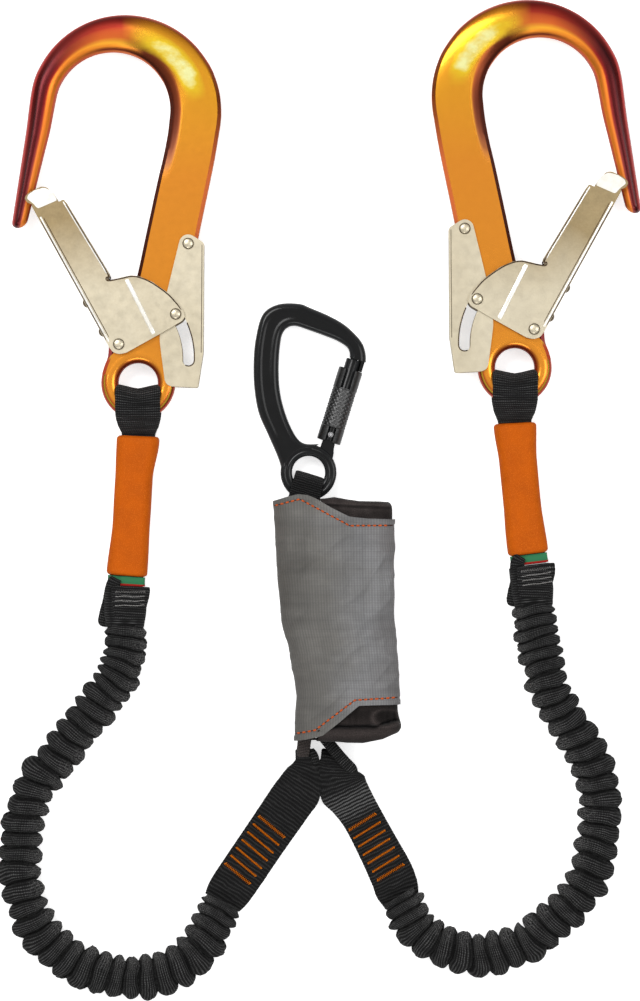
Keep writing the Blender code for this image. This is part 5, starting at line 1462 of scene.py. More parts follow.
def thread_line(name, points, radius, surface, body, slot):
    """A sewn thread along points in mm."""
    made = curve_mesh(
        name, points, surface, dimensions="3D", bevel_depth=radius * MM, bevel_resolution=2, use_fill_caps=True)
    return dress(shaded(made, 60.0), body, slot)


def arm_loop(side, rows, tacks, seed, surface):
    """Rows are (px, py, half gap, width, across px, across py) on the photo, from the fold to the arm."""
    prefix = SIDES[side]
    stations = []
    for px, py, gap, width, ax, ay in rows:
        x, y = on_photo(px, py)
        stations.append((x, y, LOOP_HEIGHT, gap, width, *unit(ax, -ay)))
    frames = fold_frames(stations, LOOP_THICKNESS, 1.8, 0.5)
    made = strap(prefix + "joint_webbing", frames, LOOP_THICKNESS, surface, seed, fray=0.35, ripple=0.45)
    dress(made, prefix + "arm", "black_webbing", prefix + "arm_loop")

    # The tacks lie on the upper ply
    top = LOOP_HEIGHT + 0.2 + LOOP_THICKNESS + 0.22
    first, last = tacks
    for k in range(TACKS):
        a, b = (Vector((*on_photo(*mix(p, q, k / (TACKS - 1))), top)) for p, q in zip(first, last))
        ahead = (b - a).normalized()
        side_step = Vector((-ahead.y, ahead.x, 0.0))
        points = []
        length = (b - a).length
        zigzag = k in (0, TACKS - 1)
        count = round(length / (0.55 if zigzag else 0.4))
        for j in range(count + 1):
            swing = (0.75 if zigzag else 0.42) * (1 if j % 2 else -1)
            swing *= 1.0 + 0.25 * wobble(0.7 * j, k, 0.0, seed)
            lift = -0.12 if j % 2 else 0.12
            points.append(a + (b - a) * (j / count) + side_step * swing + Vector((0.0, 0.0, lift)))
        thread_line(f"{prefix}tack_{k + 1}", points, 0.5, TACK_THREAD, prefix + "arm", "orange_sleeve")


arm_loop(-1, [
    (304.5, 759.5, 2.3, 10.5, 1.0, -0.05), (306.0, 768.5, 2.3, 17.0, 0.95, 0.3),
    (304.0, 778.5, 1.9, 23.5, 0.87, 0.49), (299.5, 789.5, 1.2, 27.2, 0.82, 0.57),
    (290.7, 801.7, 0.5, 27.6, 0.81, 0.585), (277.0, 821.7, 0.2, 27.2, 0.82, 0.57),
    (262.0, 843.5, 0.2, 26.8, 0.82, 0.57), (245.2, 868.3, 0.2, 26.8, 0.82, 0.57),
    (229.3, 891.7, 0.2, 26.2, 0.84, 0.54), (222.0, 903.0, 0.2, 23.0, 0.87, 0.48),
], (((258.8, 816.2), (284.5, 837.7)), ((225.1, 863.4), (250.0, 884.2))), 3.0, LOOP_WEBBING)
arm_loop(1, [
    (331.5, 760.5, 2.3, 13.0, 1.0, 0.1), (336.0, 767.5, 2.3, 23.0, 0.99, 0.14),
    (341.6, 778.3, 1.6, 26.6, 0.99, -0.12), (343.8, 790.7, 0.8, 29.0, 0.9, -0.44),
    (354.0, 805.5, 0.2, 25.6, 0.9, -0.43), (364.2, 821.7, 0.2, 24.0, 0.9, -0.43),
    (378.5, 848.5, 0.2, 24.8, 0.895, -0.445), (391.2, 873.7, 0.2, 26.3, 0.885, -0.465),
    (397.2, 890.0, 0.2, 26.0, 0.93, -0.36), (401.0, 901.0, 0.2, 22.0, 0.95, -0.3),
], (((349.1, 830.3), (375.7, 813.7)), ((377.3, 880.5), (403.8, 864.3))), 8.0, HIGHLIT_WEBBING)


def tie_strap():
    low = LOOP_HEIGHT
    rows = [
        (-11.0, -62.0, 15.0, 8.2), (-12.0, -68.0, 14.5, 8.0), (-13.3, -76.0, 11.5, 8.0), (-14.0, -83.0, 8.8, 7.6),
        (-13.9, -87.4, 6.4, 5.2), (-12.6, -90.3, low, 4.6), (-10.4, -91.2, low, 4.6), (-4.0, -91.4, low, 4.6),
        (4.0, -91.6, low, 4.6), (9.0, -92.6, low, 4.6), (12.8, -94.2, low, 4.4), (15.2, -94.9, low + 0.6, 4.4),
        (16.3, -93.8, 7.6, 5.0), (15.0, -91.8, 9.6, 6.2), (12.2, -89.2, 10.8, 6.8), (9.0, -85.7, 12.0, 6.8),
        (3.6, -79.2, 14.0, 6.8), (-0.1, -74.8, 14.6, 6.8), (-2.9, -70.0, 14.9, 6.8), (-2.6, -64.0, 15.0, 6.8),
    ]

    def piece(name, part, surface, slot, seed):
        made = strap(name, band_frames(part), 2.8, surface, seed, fray=0.25, ripple=0.1, columns=12)
        return dress(made, "absorber", slot)

    left = piece("tie_strap_left", rows[:5], TIE_WEBBING, "brown_strap", 1.0)
    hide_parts("tie_strap")
    piece("tie_strap_right", rows[4:], WEBBING, "black_webbing", 2.0)
    piece("tie_strap_end", [
        (-8.4, -80.8, 8.0, 2.2), (-7.6, -83.0, 9.2, 4.0), (-6.6, -86.0, 9.6, 4.4), (-6.0, -89.4, 8.6, 4.0)],
        WEBBING, "black_webbing", 3.0)


tie_strap()


# Karabiner, in its own plane: origin at the centre of the captive eye

KARABINER_AT = (-10.77, 85.5)
KARABINER_HEIGHT = 7.3
KARABINER_HALF = 4.8
KARABINER_PIN_AT = (13.3, 22.8)
RING_HOLE = 9.9
RING_OUTER = 16.8
GATE_TILT = math.radians(17.3)
GATE_ALONG = (math.sin(GATE_TILT), math.cos(GATE_TILT))
GATE_RIGHT = (GATE_ALONG[1], -GATE_ALONG[0])
BARREL_RADIUS = 4.5
BARREL_TOP = 47.0
PIN_HOLE = 1.55
SLEEVE_OUTER = 7.3
SLEEVE_BORE = 6.2
SLEEVE_LOW = -4.5
SLEEVE_HIGH = 40.8


def kar(point):
    return (KARABINER_AT[0] + point[0], KARABINER_AT[1] + point[1], KARABINER_HEIGHT)


def on_gate(along, right=0.0):
    return tuple(p + a * along + r * right for p, a, r in zip(KARABINER_PIN_AT, GATE_ALONG, GATE_RIGHT))


def kar_slab(name, outline, low, high):
    """A plate over points of the karabiner's plane, between two heights from its middle."""
    return plate(name, [kar(p)[:2] for p in outline], KARABINER_HEIGHT + low, KARABINER_HEIGHT + high)


def gate_box(name, along, right, up):
    corners = [on_gate(along[a], right[r]) for a, r in ((0, 0), (0, 1), (1, 1), (1, 0))]
    return kar_slab(name, corners, *up)


def grooved(half_width, half_thickness, corner, groove, count_flat=10):
    """A rounded section whose two broad faces are sunk between rims."""
    flat = half_width - corner
    ring = []
    for k, point in enumerate(section(half_width, half_thickness, corner, 5)):
        ring.append(point)
        # Behind the first and the third corner, a broad face gets points of its own
        side = {5: 1, 17: -1}.get(k)
        if side:
            for step in range(1, count_flat):
                x = mix(flat, -flat, step / count_flat)
                sunk = groove * ramp(1.0 - abs(x) / (0.86 * flat), 0.0, 0.42)
                ring.append((side * x, side * (half_thickness - sunk)))
    return ring


def karabiner_body():
    nose_end = BARREL_TOP + 0.6
    edges = [
        (on_gate(nose_end, -3.0), on_gate(nose_end, 7.3)), ((24.6, 72.0), (34.2, 71.6)), ((23.0, 75.3), (31.6, 78.6)),
        ((17.5, 78.9), (23.1, 87.5)), ((10.5, 81.8), (13.5, 93.4)), ((-1.5, 86.1), (1.5, 98.6)),
        ((-8.0, 88.0), (-6.0, 101.3)), ((-12.8, 86.8), (-18.5, 100.8)), ((-15.9, 82.5), (-27.6, 94.6)),
        ((-17.3, 74.0), (-31.8, 79.5)), ((-17.9, 62.0), (-33.0, 64.5)), ((-17.3, 50.0), (-32.4, 49.5)),
        ((-15.0, 39.0), (-29.8, 35.5)), ((-11.2, 28.5), (-24.4, 23.0)), ((-6.8, 20.6), (-19.8, 12.6)),
        ((-2.0, 17.3), (-17.6, 7.0)), ((6.4, 17.1), (-16.4, 2.5)),
    ]
    line = catmull([(*a, *b) for a, b in edges], 2.0)
    rings = []
    for k, (ax, ay, bx, by) in enumerate(line):
        a, b = kar((ax, ay)), kar((bx, by))
        half = math.dist(a[:2], b[:2]) / 2.0
        share = k / (len(line) - 1)
        groove = 0.4 * ramp(share, 0.1, 0.2) * (1.0 - ramp(share, 0.84, 0.93))
        ring = grooved(half, KARABINER_HALF, min(3.4, 0.7 * half), groove)
        rings.append(ring_between(a, b, ring, KARABINER_HEIGHT))
    body = loft("karabiner_limbs", rings, BLACK_METAL)
    band = (RING_OUTER + RING_HOLE) / 2.0
    low, high = KARABINER_HEIGHT - THROUGH, KARABINER_HEIGHT + THROUGH
    body = combine(body, [peg("bore", kar((0.0, 0.0)), band, low, high, 64)])
    tang = [on_gate(*polar((0.0, 0.0), 3.4, degrees)) for degrees in (90, 60, 30, 0, -30, -60, -90)]
    tang += [(6.8, 14.5), (5.2, 11.6), (13.4, 6.6), (14.8, 11.5)]
    thin = kar_slab("tang", tang, -1.9, 1.9)
    neck = [(15.4, 13.4), (14.6, 8.4), (13.0, 6.2), (5.0, 11.8), (6.0, 15.2)]
    block = kar_slab("neck", rounded(neck, 1.5), -3.6, 3.6)
    half_band = (RING_OUTER - RING_HOLE) / 2.0
    profile = [(band + w, h) for w, h in grooved(half_band, KARABINER_HALF + 0.05, 1.9, 0.55, 6)]
    ring = turned("ring", profile, 72, None, kar((0.0, 0.0)))
    # Between the sleeve's end and the nose the body shows beside the barrel and under it
    beside = SLEEVE_HIGH + 0.35, nose_end + 0.5
    wall = gate_box("wall", beside, (BARREL_RADIUS + 0.2, 6.6), (-4.7, 3.6))
    sill = gate_box("sill", beside, (2.6, 6.6), (-4.7, -4.3))
    body = combine(body, [thin, block, ring, wall, sill], "UNION")
    body = combine(body, [
        gate_box("slot", (BARREL_TOP, BARREL_TOP + 5.0), (-15.0, 2.9), (-1.9, 1.9)),
        peg("hole", kar(KARABINER_PIN_AT), PIN_HOLE, low, high, 24),
    ])
    body.name = body.data.name = "karabiner_forging"
    dress(shaded(body, 34.0), "karabiner", "black_anodised", "karabiner_body")


def karabiner_gate():
    profile = [
        (0.0, BARREL_TOP), (3.9, BARREL_TOP), (4.3, BARREL_TOP - 0.2), (BARREL_RADIUS, BARREL_TOP - 0.6),
        (BARREL_RADIUS, -3.6), (0.0, -3.6),
    ]
    pivot = kar(KARABINER_PIN_AT)
    made = turned("barrel", profile, 48, BLACK_METAL, pivot, (*GATE_ALONG, 0.0))
    made = combine(made, [
        gate_box("fork", (-20.0, 5.5), (-20.0, 20.0), (-2.2, 2.2)),
        peg("hole", pivot, PIN_HOLE, -THROUGH, THROUGH, 24),
    ])
    tongue = gate_box("tongue", (BARREL_TOP - 2.0, BARREL_TOP + 4.0), (-2.2, 2.2), (-1.5, 1.5))
    made = combine(made, [tongue], "UNION")
    made.name = made.data.name = "karabiner_barrel"
    dress(shaded(made, 34.0), "karabiner_gate", "black_anodised", "karabiner_gate")


def locking_sleeve():
    """Smooth collars at both ends of a knurled grip, bored for the barrel and its spring."""
    pivot = Vector(kar(KARABINER_PIN_AT))
    axis = Vector((*GATE_ALONG, 0.0))
    right = Vector((*GATE_RIGHT, 0.0))
    up = Vector((0.0, 0.0, 1.0))
    count = 144
    rows = [(SLEEVE_LOW, 6.9, 0.0), (SLEEVE_LOW + 0.2, 7.15, 0.0), (SLEEVE_LOW + 0.6, SLEEVE_OUTER, 0.0)]
    rows += [(4.4, SLEEVE_OUTER, 0.0), (4.8, 7.0, 0.0)]
    rows += [(mix(5.4, 27.4, k / 60.0), 7.02, 1.0) for k in range(61)]
    rows += [(28.0, 7.0, 0.0), (28.4, SLEEVE_OUTER, 0.0)]
    rows += [(SLEEVE_HIGH - 0.6, SLEEVE_OUTER, 0.0), (SLEEVE_HIGH - 0.2, 7.15, 0.0), (SLEEVE_HIGH, 6.9, 0.0)]
    outer, inner = [], []
    for s, radius, knurl in rows:
        ring, bore = [], []
        bore_radius = SLEEVE_BORE if s < 31.0 else BARREL_RADIUS + 0.3
        for k in range(count):
            angle = 2.0 * math.pi * k / count
            turn_a, turn_b = 20.0 * angle + 2.0 * math.pi * s / 2.9, 20.0 * angle - 2.0 * math.pi * s / 2.9
            ridge = 0.32 * knurl * max(0.0, math.cos(turn_a)) * max(0.0, math.cos(turn_b)) ** 0.5
            out = right * math.cos(angle) + up * math.sin(angle)
            ring.append(tuple(pivot + axis * s + out * (radius + ridge)))
            bore.append(tuple(pivot + axis * s + out * bore_radius))
        outer.append(ring)
        inner.append(bore)
    made = loft("sleeve", outer, KNURLED_METAL, inner=inner)
    made = combine(made, [
        gate_box("window", (SLEEVE_LOW - 5.0, 4.4), (-2.4, 2.4), (-20.0, 20.0)),
        gate_box("notch", (SLEEVE_HIGH - 12.0, SLEEVE_HIGH + 5.0), (-3.0, 3.0), (2.5, 20.0)),
    ])
    made.name = made.data.name = "knurled_sleeve"
    dress(shaded(made, 30.0), "locking_sleeve", "black_anodised", "locking_sleeve")


def pivot_pin():
    half = 4.2
    profile = [(0.0, half), (0.9, half), (1.25, half - 0.35), (1.25, -half + 0.35), (0.9, -half), (0.0, -half)]
    made = turned("pivot_pin", profile, 32, SPRING, kar(KARABINER_PIN_AT))
    dress(shaded(made, 40.0), "karabiner", "nickel_steel", "karabiner_pivot_pin")


def karabiner_loop():
    """The webbing that leaves the pack and folds round the captive eye."""
    x, y = KARABINER_AT
    ring_low = y - RING_HOLE
    across = unit(0.955, -0.29)
    stations = [
        (x - 0.7, ring_low + 2.4, KARABINER_HEIGHT, 5.2, 18.0, *across),
        (x - 2.4, ring_low - 5.6, KARABINER_HEIGHT, 5.2, 19.0, *across),
        (x - 3.2, ring_low - 10.0, KARABINER_HEIGHT + 2.4, 3.4, 20.0, *across),
        (x - 3.8, ring_low - 14.0, KARABINER_HEIGHT + 6.0, 1.4, 20.0, 1.0, 0.0),
        (x - 3.9, 58.3, KARABINER_HEIGHT + 8.0, 0.2, 20.0, 1.0, 0.0),
    ]
    made = strap("eye_loop", fold_frames(stations, 1.8, 1.0), 1.8, FINE_WEBBING, 11.0, ripple=0.15)
    dress(made, "absorber", "black_webbing", "karabiner_loop")


karabiner_body()
karabiner_gate()
locking_sleeve()
pivot_pin()
karabiner_loop()

# The springs keep the shape that the frame gives them
for spring in ("left_gate_", "left_lever_", "right_gate_", "right_lever_", "sleeve_"):
    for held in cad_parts[spring + "spring"].material_slots:
        held.material = SPRING


# Cuffs: the elastic's end folded into a flat pocket and sewn in rows, with a loose flap at its left

CUFF_AROUND = 70.0
CUFF_HEIGHT = 7.2
CUFF_ROWS = 60


def cuff(side, stem, ends, seed):
    prefix = SIDES[side]
    high, low = ends
    along = [mix(high, low, k / CUFF_ROWS) for k in range(CUFF_ROWS + 1)]
    rings = []
    for k, y in enumerate(along):
        share = k / CUFF_ROWS
        # Broad and thick where the sleeve's strap enters, drawn in towards the first fold
        end = ramp(share, 0.0, 0.05) * (1.0 - 0.35 * ramp(share, 0.93, 1.0))
        half_width = mix(11.6, 12.6, end) - 1.1 * ramp(share, 0.55, 1.0)
        half_thickness = mix(3.6, 6.3, end) - 0.5 * ramp(share, 0.5, 1.0)
        ridge = 0.35 * math.cos(2.0 * math.pi * share * 5.0) * (1.0 - ramp(share, 0.5, 0.7))
        ring = []
        for w, h in section(half_width, half_thickness, 3.4, 8):
            dent = 0.35 * wobble(0.25 * y, 0.3 * w, 0.3 * h, seed)
            ring.append((w, h + (ridge + dent) * (1.0 if h > 0 else 0.3)))
        rings.append(stem.ring(y, CUFF_HEIGHT, ring))
    made = loft(
        prefix + "cuff_pocket", rings, WEBBING, place=lambda i, k: (CUFF_AROUND * k / len(rings[0]), high - along[i]))
    dress(shaded(made, 55.0), prefix + "arm", "black_webbing", prefix + "cuff")

    # The flap hangs at the pocket's left from above the label, and a folded layer lies on its front
    (x, y), _ = stem.at(high)
    length = high - low
    reach = 1.0 if side < 0 else 0.76
    flap = [
        (x - 5.6, y + 5.2, 12.2, 6.6), (x - 7.6, y + 0.8, 12.0, 8.4), (x - 9.6 * reach, y - 0.35 * length, 9.2, 8.6),
        (x - 11.5 * reach, y - 0.68 * length, 8.0, 9.2), (x - 12.6 * reach, y - 0.86 * length, 7.0, 8.6),
        (x - 13.0 * reach, y - 0.94 * length, 6.4, 6.4), (x - 13.1 * reach, y - 0.97 * length, 6.2, 3.0),
    ]
    made = strap(prefix + "cuff_flap", band_frames(flap), 2.2, WEBBING, seed, fray=0.4, ripple=0.4)
    dress(made, prefix + "arm", "black_webbing")
    (lx, ly), _ = stem.at(mix(high, low, 0.72))
    shift = 2.6 if side < 0 else 0.6
    fold = [
        (x + 3.2, y + 0.2, 13.0, 22.6), (mix(x, lx, 0.2) + 3.1, mix(y, ly, 0.2), 13.9, 23.0),
        (mix(x, lx, 0.6) + mix(3.1, shift, 0.6), mix(y, ly, 0.6), 13.9, 20.6), (lx + shift, ly, 13.2, 17.6),
        (lx + shift, ly - 1.2, 12.0, 16.8)]
    made = strap(prefix + "cuff_fold", band_frames(fold, 0.4), 1.6, WEBBING, seed + 2.0, fray=0.35, ripple=0.25)
    dress(made, prefix + "arm", "black_webbing")

    # Rows of grey zigzag stitches across the fold
    for row in range(4):
        share = 0.12 + 0.11 * row
        (cx, cy), (ux, uy) = stem.at(mix(high, low, share))
        points = []
        count = 34
        for j in range(count + 1):
            w = mix(-8.8, 8.8, j / count) + 3.0
            swing = (0.6 if row == 0 else 0.2) * (1 if j % 2 else -1)
            swing += 0.5 * ramp(abs(w - 3.0) / 8.8, 0.45, 1.0) * (1.0 if w > 3.0 else -0.4) + 0.3 * wobble(
                0.3 * w, row, 0.0, seed)
            points.append((
                cx + ux * w - uy * swing, cy + uy * w + ux * swing, 14.75 + 0.1 * (j % 2)))
        thread_line(f"{prefix}cuff_row_{row + 1}", points, 0.22, GREY_THREAD, prefix + "arm", "black_webbing")


cuff(-1, LEFT_STEM, (17.0, -7.6), 4.0)
cuff(1, RIGHT_STEM, (30.0, 4.6), 9.0)


# Energy absorber: folded tear webbing in a black pouch, with a grey cover wrapped round both

PACK_THICKNESS = 34.0
PACK_CORNER = 12.0
PACK_EDGES = [
    (90.0, -33.0, 41.2), (68.4, -31.8, 40.9), (29.4, -29.5, 40.3), (0.6, -27.3, 40.4), (-22.0, -22.0, 42.3),
    (-47.4, -17.7, 43.9), (-72.6, -19.2, 43.9), (-90.0, -19.8, 43.9),
]
COVER_TOP = [
    (-36.0, 67.0), (-31.8, 68.4), (-24.0, 70.8), (-17.4, 72.4), (-12.0, 72.0), (-7.1, 70.1), (3.0, 64.4),
    (13.5, 59.2), (24.0, 58.0), (40.9, 57.5), (46.0, 57.2),
]
COVER_BOTTOM = [
    (-24.0, -75.2), (-18.6, -74.5), (-10.0, -72.8), (-2.5, -71.1), (8.0, -62.8), (19.3, -53.3), (30.0, -52.9),
    (43.9, -52.8), (48.0, -52.8),
]


def between(table, x):
    for (x0, y0), (x1, y1) in zip(table, table[1:]):
        if x0 <= x <= x1:
            return mix(y0, y1, (x - x0) / (x1 - x0))
    return table[0][1] if x < table[0][0] else table[-1][1]


def pack_edges(y):
    """The left and right edge of the pack at a height y of the picture."""
    for (y1, left1, right1), (y0, left0, right0) in zip(PACK_EDGES, PACK_EDGES[1:]):
        if y1 >= y >= y0:
            share = ramp((y1 - y) / (y1 - y0), -0.15, 1.15)
            return mix(left1, left0, share), mix(right1, right0, share)
    return PACK_EDGES[-1][1:]


def round_pack(y, share, inset, squeeze=0.0):
    """A point on the pack's rounded section; share 0 to 1 runs round it from the right, over the front."""
    left, right = pack_edges(y)
    left, right = left + inset + squeeze, right - inset - squeeze
    half_x = (right - left) / 2.0
    half_z = PACK_THICKNESS / 2.0 - inset - squeeze
    corner = max(1.0, min(PACK_CORNER - inset, half_z - 0.1))
    flat_x, flat_z = half_x - corner, half_z - corner
    arc = math.pi * corner / 2.0
    runs = [flat_z, arc, 2 * flat_x, arc, 2 * flat_z, arc, 2 * flat_x, arc, flat_z]
    walk = share * sum(runs)
    x, z = (left + right) / 2.0, PACK_THICKNESS / 2.0
    for k, run in enumerate(runs):
        if walk <= run or k == len(runs) - 1:
            break
        walk -= run
    if k % 2:
        side_x, side_z = ((1, 1), (-1, 1), (-1, -1), (1, -1))[k // 2]
        angle = math.radians(90.0 * (k // 2)) + walk / corner
        return (x + side_x * flat_x + corner * math.cos(angle), y, z + side_z * flat_z + corner * math.sin(angle))
    # A flat stretch: where it starts, and which way it runs
    start_x, start_z, along_x, along_z = (
        (half_x, 0.0, 0, 1), (flat_x, half_z, -1, 0), (-half_x, flat_z, 0, -1), (-flat_x, -half_z, 1, 0),
        (half_x, -flat_z, 0, 1))[k // 2]
    return (x + start_x + along_x * walk, y, z + start_z + along_z * walk)


def cloth_lift(x, y, z, seed):
    """Soft folds of the cover: long upright ones, and slanted ones that cross it."""
    upright = wobble(0.10 * x, 0.016 * y, 0.05 * z, seed)
    crossing = wobble(0.022 * (x + 0.8 * y), 0.075 * (y - 0.9 * x), 0.03 * z, seed + 2.0)
    # The slanted folds stand up as narrow ridges between broad hollows
    slanted = 1.7 * (1.0 - math.sqrt(abs(crossing) + 0.02) * 1.45) - 0.5
    small = 0.3 * cloth_noise(0.13 * x, 0.09 * y, 0.08 * z, 3, seed)
    dip = -1.3 * math.exp(-((x + 12.0 - 0.1 * y) / 5.0) ** 2) * ramp(y, -70.0, 20.0)
    return upright + slanted + small + dip


def cover_lift(x, y, z):
    """The cover's relief, calmer near its two hems, each pressed in along its stitches."""
    edge = min(y - between(COVER_BOTTOM, x), between(COVER_TOP, x) - y)
    lift = min(1.9, max(-1.0, 1.3 * cloth_lift(x, y, z, 4.0) + 0.3)) * (0.3 + 0.7 * ramp(edge, 1.0, 18.0))
    lift *= 0.2 + 0.8 * ramp(z, 20.0, 31.0)
    return lift + 0.3 * (1.0 - ramp(edge, 2.4, 3.6)) - 0.3 * math.exp(-((edge - 3.9) / 1.0) ** 2)


COVER_COLUMNS = 220
COVER_ROWS = 150
COVER_WALL = 1.2
COVER_AROUND = 170.0
POUCH_COLUMNS = 240
POUCH_INSET = 1.5
POUCH_WALL = 1.2
POUCH_AROUND = 165.0


def cover_point(share, t, inset):
    """A point of the cover: share round the pack, t from its lower edge to its upper edge."""
    y = 0.0
    # The edges' heights depend on x, and x on the height
    for _ in range(5):
        x = round_pack(y, share, 0.0)[0]
        y = mix(between(COVER_BOTTOM, x), between(COVER_TOP, x), t)
    back = share > 0.5
    if back and x < 0.0:
        # At the back the upper edge is cut away beside the webbing
        y = mix(between(COVER_BOTTOM, x), min(between(COVER_TOP, x), 64.0), t)
    point = round_pack(y, share, inset)
    a, b = (round_pack(y, (share + nudge) % 1.0, inset) for nudge in (-0.001, 0.001))
    out = Vector((b[2] - a[2], 0.0, -(b[0] - a[0])))
    out = out.normalized() if out.length > 1e-9 else Vector((0.0, 0.0, 1.0))
    at = Vector(point) + out * cover_lift(point[0], y, point[2]) * (0.2 if back else 1.0)
    at.z = max(at.z, 0.05)
    return at, y


def cover():
    heights, sides = [], []
    for inset in (0.0, COVER_WALL):
        rings = []
        for i in range(COVER_ROWS + 1):
            # The rows lie closer together towards both hems
            t = i / COVER_ROWS
            t -= 0.1 * math.sin(2.0 * math.pi * t)
            points = [cover_point(k / COVER_COLUMNS, t, inset) for k in range(COVER_COLUMNS)]
            rings.append([at for at, _ in points])
            if not inset:
                heights.append([y for _, y in points])
        sides.append(rings)

    def place(i, k):
        return (COVER_AROUND * k / COVER_COLUMNS, heights[i][k % COVER_COLUMNS])

    made = loft("cover_cloth", sides[0], RIPSTOP, inner=sides[1], place=place)
    return dress(shaded(made, 55.0), "absorber", "grey_ripstop", "absorber_cover")


STITCH_LINES = (
    ("top", [(-31.2, 65.6), (-15.9, 69.5), (13.8, 53.7), (39.6, 53.9)]),
    ("bottom", [(-18.2, -70.0), (-6.8, -67.8), (16.9, -49.9), (42.4, -48.4)]),
)


def front_height(x, y):
    """The height of the cover's front at a plane point."""
    left, right = pack_edges(y)
    inside = min(x - left, right - x)
    z = PACK_THICKNESS
    if inside < PACK_CORNER:
        z -= PACK_CORNER - math.sqrt(max(0.0, PACK_CORNER ** 2 - (PACK_CORNER - max(0.0, inside)) ** 2))
    return z + cover_lift(x, y, z)


def add_dash(bm, points):
    """One raised stitch whose ends dive into the cloth."""
    rings = []
    for j, (x, y) in enumerate(points):
        share = j / (len(points) - 1)
        t = heading(points, j)
        z = front_height(x, y) + 0.3 * math.sin(math.pi * share) - 0.1
        grow = 0.5 * (0.45 + 0.55 * math.sin(math.pi * share))
        ring = []
        for k in range(8):
            angle = 2.0 * math.pi * k / 8
            ring.append(bm.verts.new(Vector((
                x - t[1] * grow * 1.2 * math.cos(angle), y + t[0] * grow * 1.2 * math.cos(angle),
                z + grow * math.sin(angle))) * MM))
        rings.append(ring)
    for low, high in zip(rings, rings[1:]):
        for k in range(8):
            n = (k + 1) % 8
            bm.faces.new((low[k], low[n], high[n], high[k]))
    bm.faces.new(rings[0])
    bm.faces.new(rings[-1])


def cover_stitches():
    """Orange dashes inset from the cover's two angled edges, on the front, over a dark thread."""
    for label, corners in STITCH_LINES:
        line = []
        for a, b in zip(corners, corners[1:]):
            count = round(math.dist(a, b) / 0.25)
            line += [mix(a, b, k / count) for k in range(count)]
        walked = lengths_along(line)
        dash, pitch = 2.35, 3.3
        bm = bmesh.new()
        start = 0.3
        while start + dash < walked[-1]:
            points = []
            for j in range(5):
                s = start + dash * j / 4.0
                k = next(i for i in range(1, len(walked)) if walked[i] >= s)
                share = (s - walked[k - 1]) / max(1e-6, walked[k] - walked[k - 1])
                points.append(mix(line[k - 1], line[k], share))
            add_dash(bm, points)
            start += pitch
        piece = finish_mesh("cover_stitch_" + label, bm, ORANGE_THREAD)
        dress(shaded(piece, 70.0), "absorber", "orange_sleeve")
        under = [(x, y, front_height(x, y) + 0.02) for x, y in line[::2]]
        thread_line("cover_thread_" + label, under, 0.26, DARK_THREAD, "absorber", "orange_sleeve")


POUCH_TOP = [
    (-40.0, 68.0), (-1.7, 70.0), (4.7, 70.8), (13.3, 69.5), (22.4, 68.4), (36.3, 68.2), (50.0, 67.0),
]
POUCH_BOTTOM = [
    (-40.0, -74.0), (4.2, -75.0), (12.3, -75.6), (23.8, -75.8), (35.4, -73.9), (42.3, -70.7), (50.0, -66.0),
]


def bump_at(x, centre, width):
    return math.exp(-((x - centre) / width) ** 2)


def pouch_relief(x, y):
    """How far the pouch's front stands out: seams, gathers and the folded corner at its lower right."""
    rise = 0.0
    if y < -50.0:
        seam = -65.8 + 3.8 * ramp(x, 26.0, 44.0) + 0.5 * wobble(0.2 * x, 0.0, 0.0, 2.0)
        rise -= 1.0 * bump_at(y, -58.5, 4.0) + 2.8 * bump_at(y, seam, 0.9)
        rise += 1.4 * bump_at(y, -70.0, 3.4) + 1.1 * wobble(0.42 * x, 0.05 * y, 0.0, 3.0) * bump_at(y, -60.0, 4.5)
        rise += 0.5 * wobble(0.2 * x, 0.4 * y, 0.0, 13.0) * bump_at(y, -70.0, 4.0)
        reach = math.hypot((x - 35.6) / 8.2, (y + 60.4) / 5.4)
        rise += (2.4 * bump_at(reach, 1.0, 0.24) - 0.8 * bump_at(reach, 0.0, 0.6)) * (1.0 - ramp(y, -57.5, -54.0))
    elif y > 54.0:
        seam = mix(66.8, 65.4, (x - 6.9) / 31.5)
        rise += 0.7 * bump_at(y, seam, 0.6) - 1.1 * bump_at(y, seam - 1.3, 0.8) - 0.6 * bump_at(y, 60.5, 3.0)
        rise += 0.9 * wobble(0.17 * x, 0.14 * y, 0.0, 6.0)
    return rise


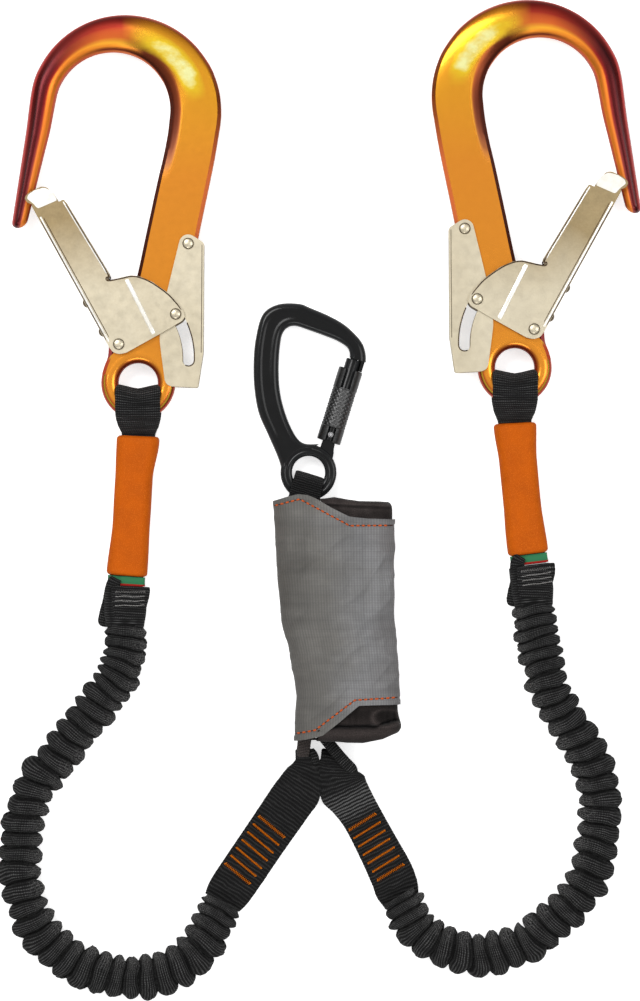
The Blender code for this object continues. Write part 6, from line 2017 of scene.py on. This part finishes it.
def pouch():
    """The pouch: closed at the right, open at both mouths at the left, with rounded ends."""
    count = POUCH_COLUMNS
    rows = [("top", 0.0, s) for s in (13.5, 12.0, 9.0, 6.5)] + [("top", 0.5 * k, 0.0) for k in range(33)]
    rows += [("middle", k / 14.0, 0.0) for k in range(1, 14)]
    rows += [("bottom", 0.5 * k, 0.0) for k in range(48, -1, -1)]
    rows += [("bottom", 0.0, s) for s in (6.5, 9.0, 12.0, 13.5)]
    rings, heights = [], []
    for kind, value, squeeze in rows:
        ring = []
        if not squeeze:
            close = value if kind != "middle" else 99.0
            squeeze = 5.0 * (1.0 - math.sqrt(max(0.0, 1.0 - max(0.0, 1.0 - close / 5.0) ** 2)))
        for k in range(count):
            y = 0.0
            for _ in range(3):
                x = round_pack(y, k / count, POUCH_INSET)[0]
                top, bottom = between(POUCH_TOP, x), between(POUCH_BOTTOM, x)
                y = {"top": top - value, "bottom": bottom + value}.get(kind, mix(top - 16.0, bottom + 24.0, value))
            x, y, z = round_pack(y, k / count, POUCH_INSET, squeeze)
            left, right = pack_edges(y)
            half = (right - left) / 2.0 - POUCH_INSET
            middle = (right + left) / 2.0
            x = middle + (x - middle) * (half - 0.55 * squeeze) / (half - squeeze)
            front = ramp(z, 18.0, 27.0)
            x += 2.2 * bump_at(y, -66.0, 6.0) * ramp(x, 24.0, 42.0)
            z += front * pouch_relief(x, y) + 0.2 * wobble(0.3 * x, 0.3 * y, 0.3 * z, 8.0)
            ring.append((x, y, max(z, 0.4)))
        rings.append(ring)
        heights.append(ring[0][1])
    made = loft("pouch_cloth", rings, POUCH_FABRIC, place=lambda i, k: (POUCH_AROUND * k / count, heights[i]))
    bm = bmesh.new()
    bm.from_mesh(made.data)
    gone = []
    for cell in bm.faces:
        x, y, z = cell.calc_center_median() / MM
        # The upper mouth is wider at its back, where the karabiner's ring comes down
        if (x < (8.0 if z < 15.0 else -3.0) and y > 60.0) or (x < -5.0 and y < -66.0):
            gone.append(cell)
    bmesh.ops.delete(bm, geom=gone, context="FACES")
    # The relief is kept for the cloth's painted shade and painted light
    relief = bm.verts.layers.float.new("relief")
    for vert in bm.verts:
        x, y, z = vert.co / MM
        vert[relief] = min(1.0, max(0.0, 0.5 + 0.2 * ramp(z, 18.0, 27.0) * pouch_relief(x, y)))
    bm.to_mesh(made.data)
    bm.free()
    wall = made.modifiers.new("wall", "SOLIDIFY")
    wall.thickness = POUCH_WALL * MM
    wall.offset = -1.0
    return dress(shaded(applied(made), 60.0), "absorber", "black_fabric", "absorber_pouch")


def tear_webbing():
    """The folded webbing inside, layer on layer, seen only at the mouths."""
    layers, low, high = 11, 3.6, 30.4
    step = (high - low) / layers
    for layer in range(layers):
        z = low + step * (layer + 0.5)
        spread = abs(z - PACK_THICKNESS / 2.0) / (PACK_THICKNESS / 2.0)
        frames = []
        for k in range(70):
            y = mix(57.6, -61.8, k / 69.0)
            left, right = pack_edges(y)
            trim = 3.4 + 8.0 * max(0.0, spread - 0.35) ** 1.5 * 2.0
            frames.append((
                Vector(((left + right) / 2.0, y, z)), Vector((-1.0, 0.0, 0.0)), right - left - 2.0 * trim))
        made = strap(f"tear_layer_{layer + 1}", frames, step - 0.25, WEBBING, layer, fray=0.2, ripple=0.1, columns=12)
        dress(made, "absorber", "black_webbing")
        if layer == 0:
            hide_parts("tear_webbing")


tear_webbing()
bag = pouch()
wrap = cover()
cover_stitches()
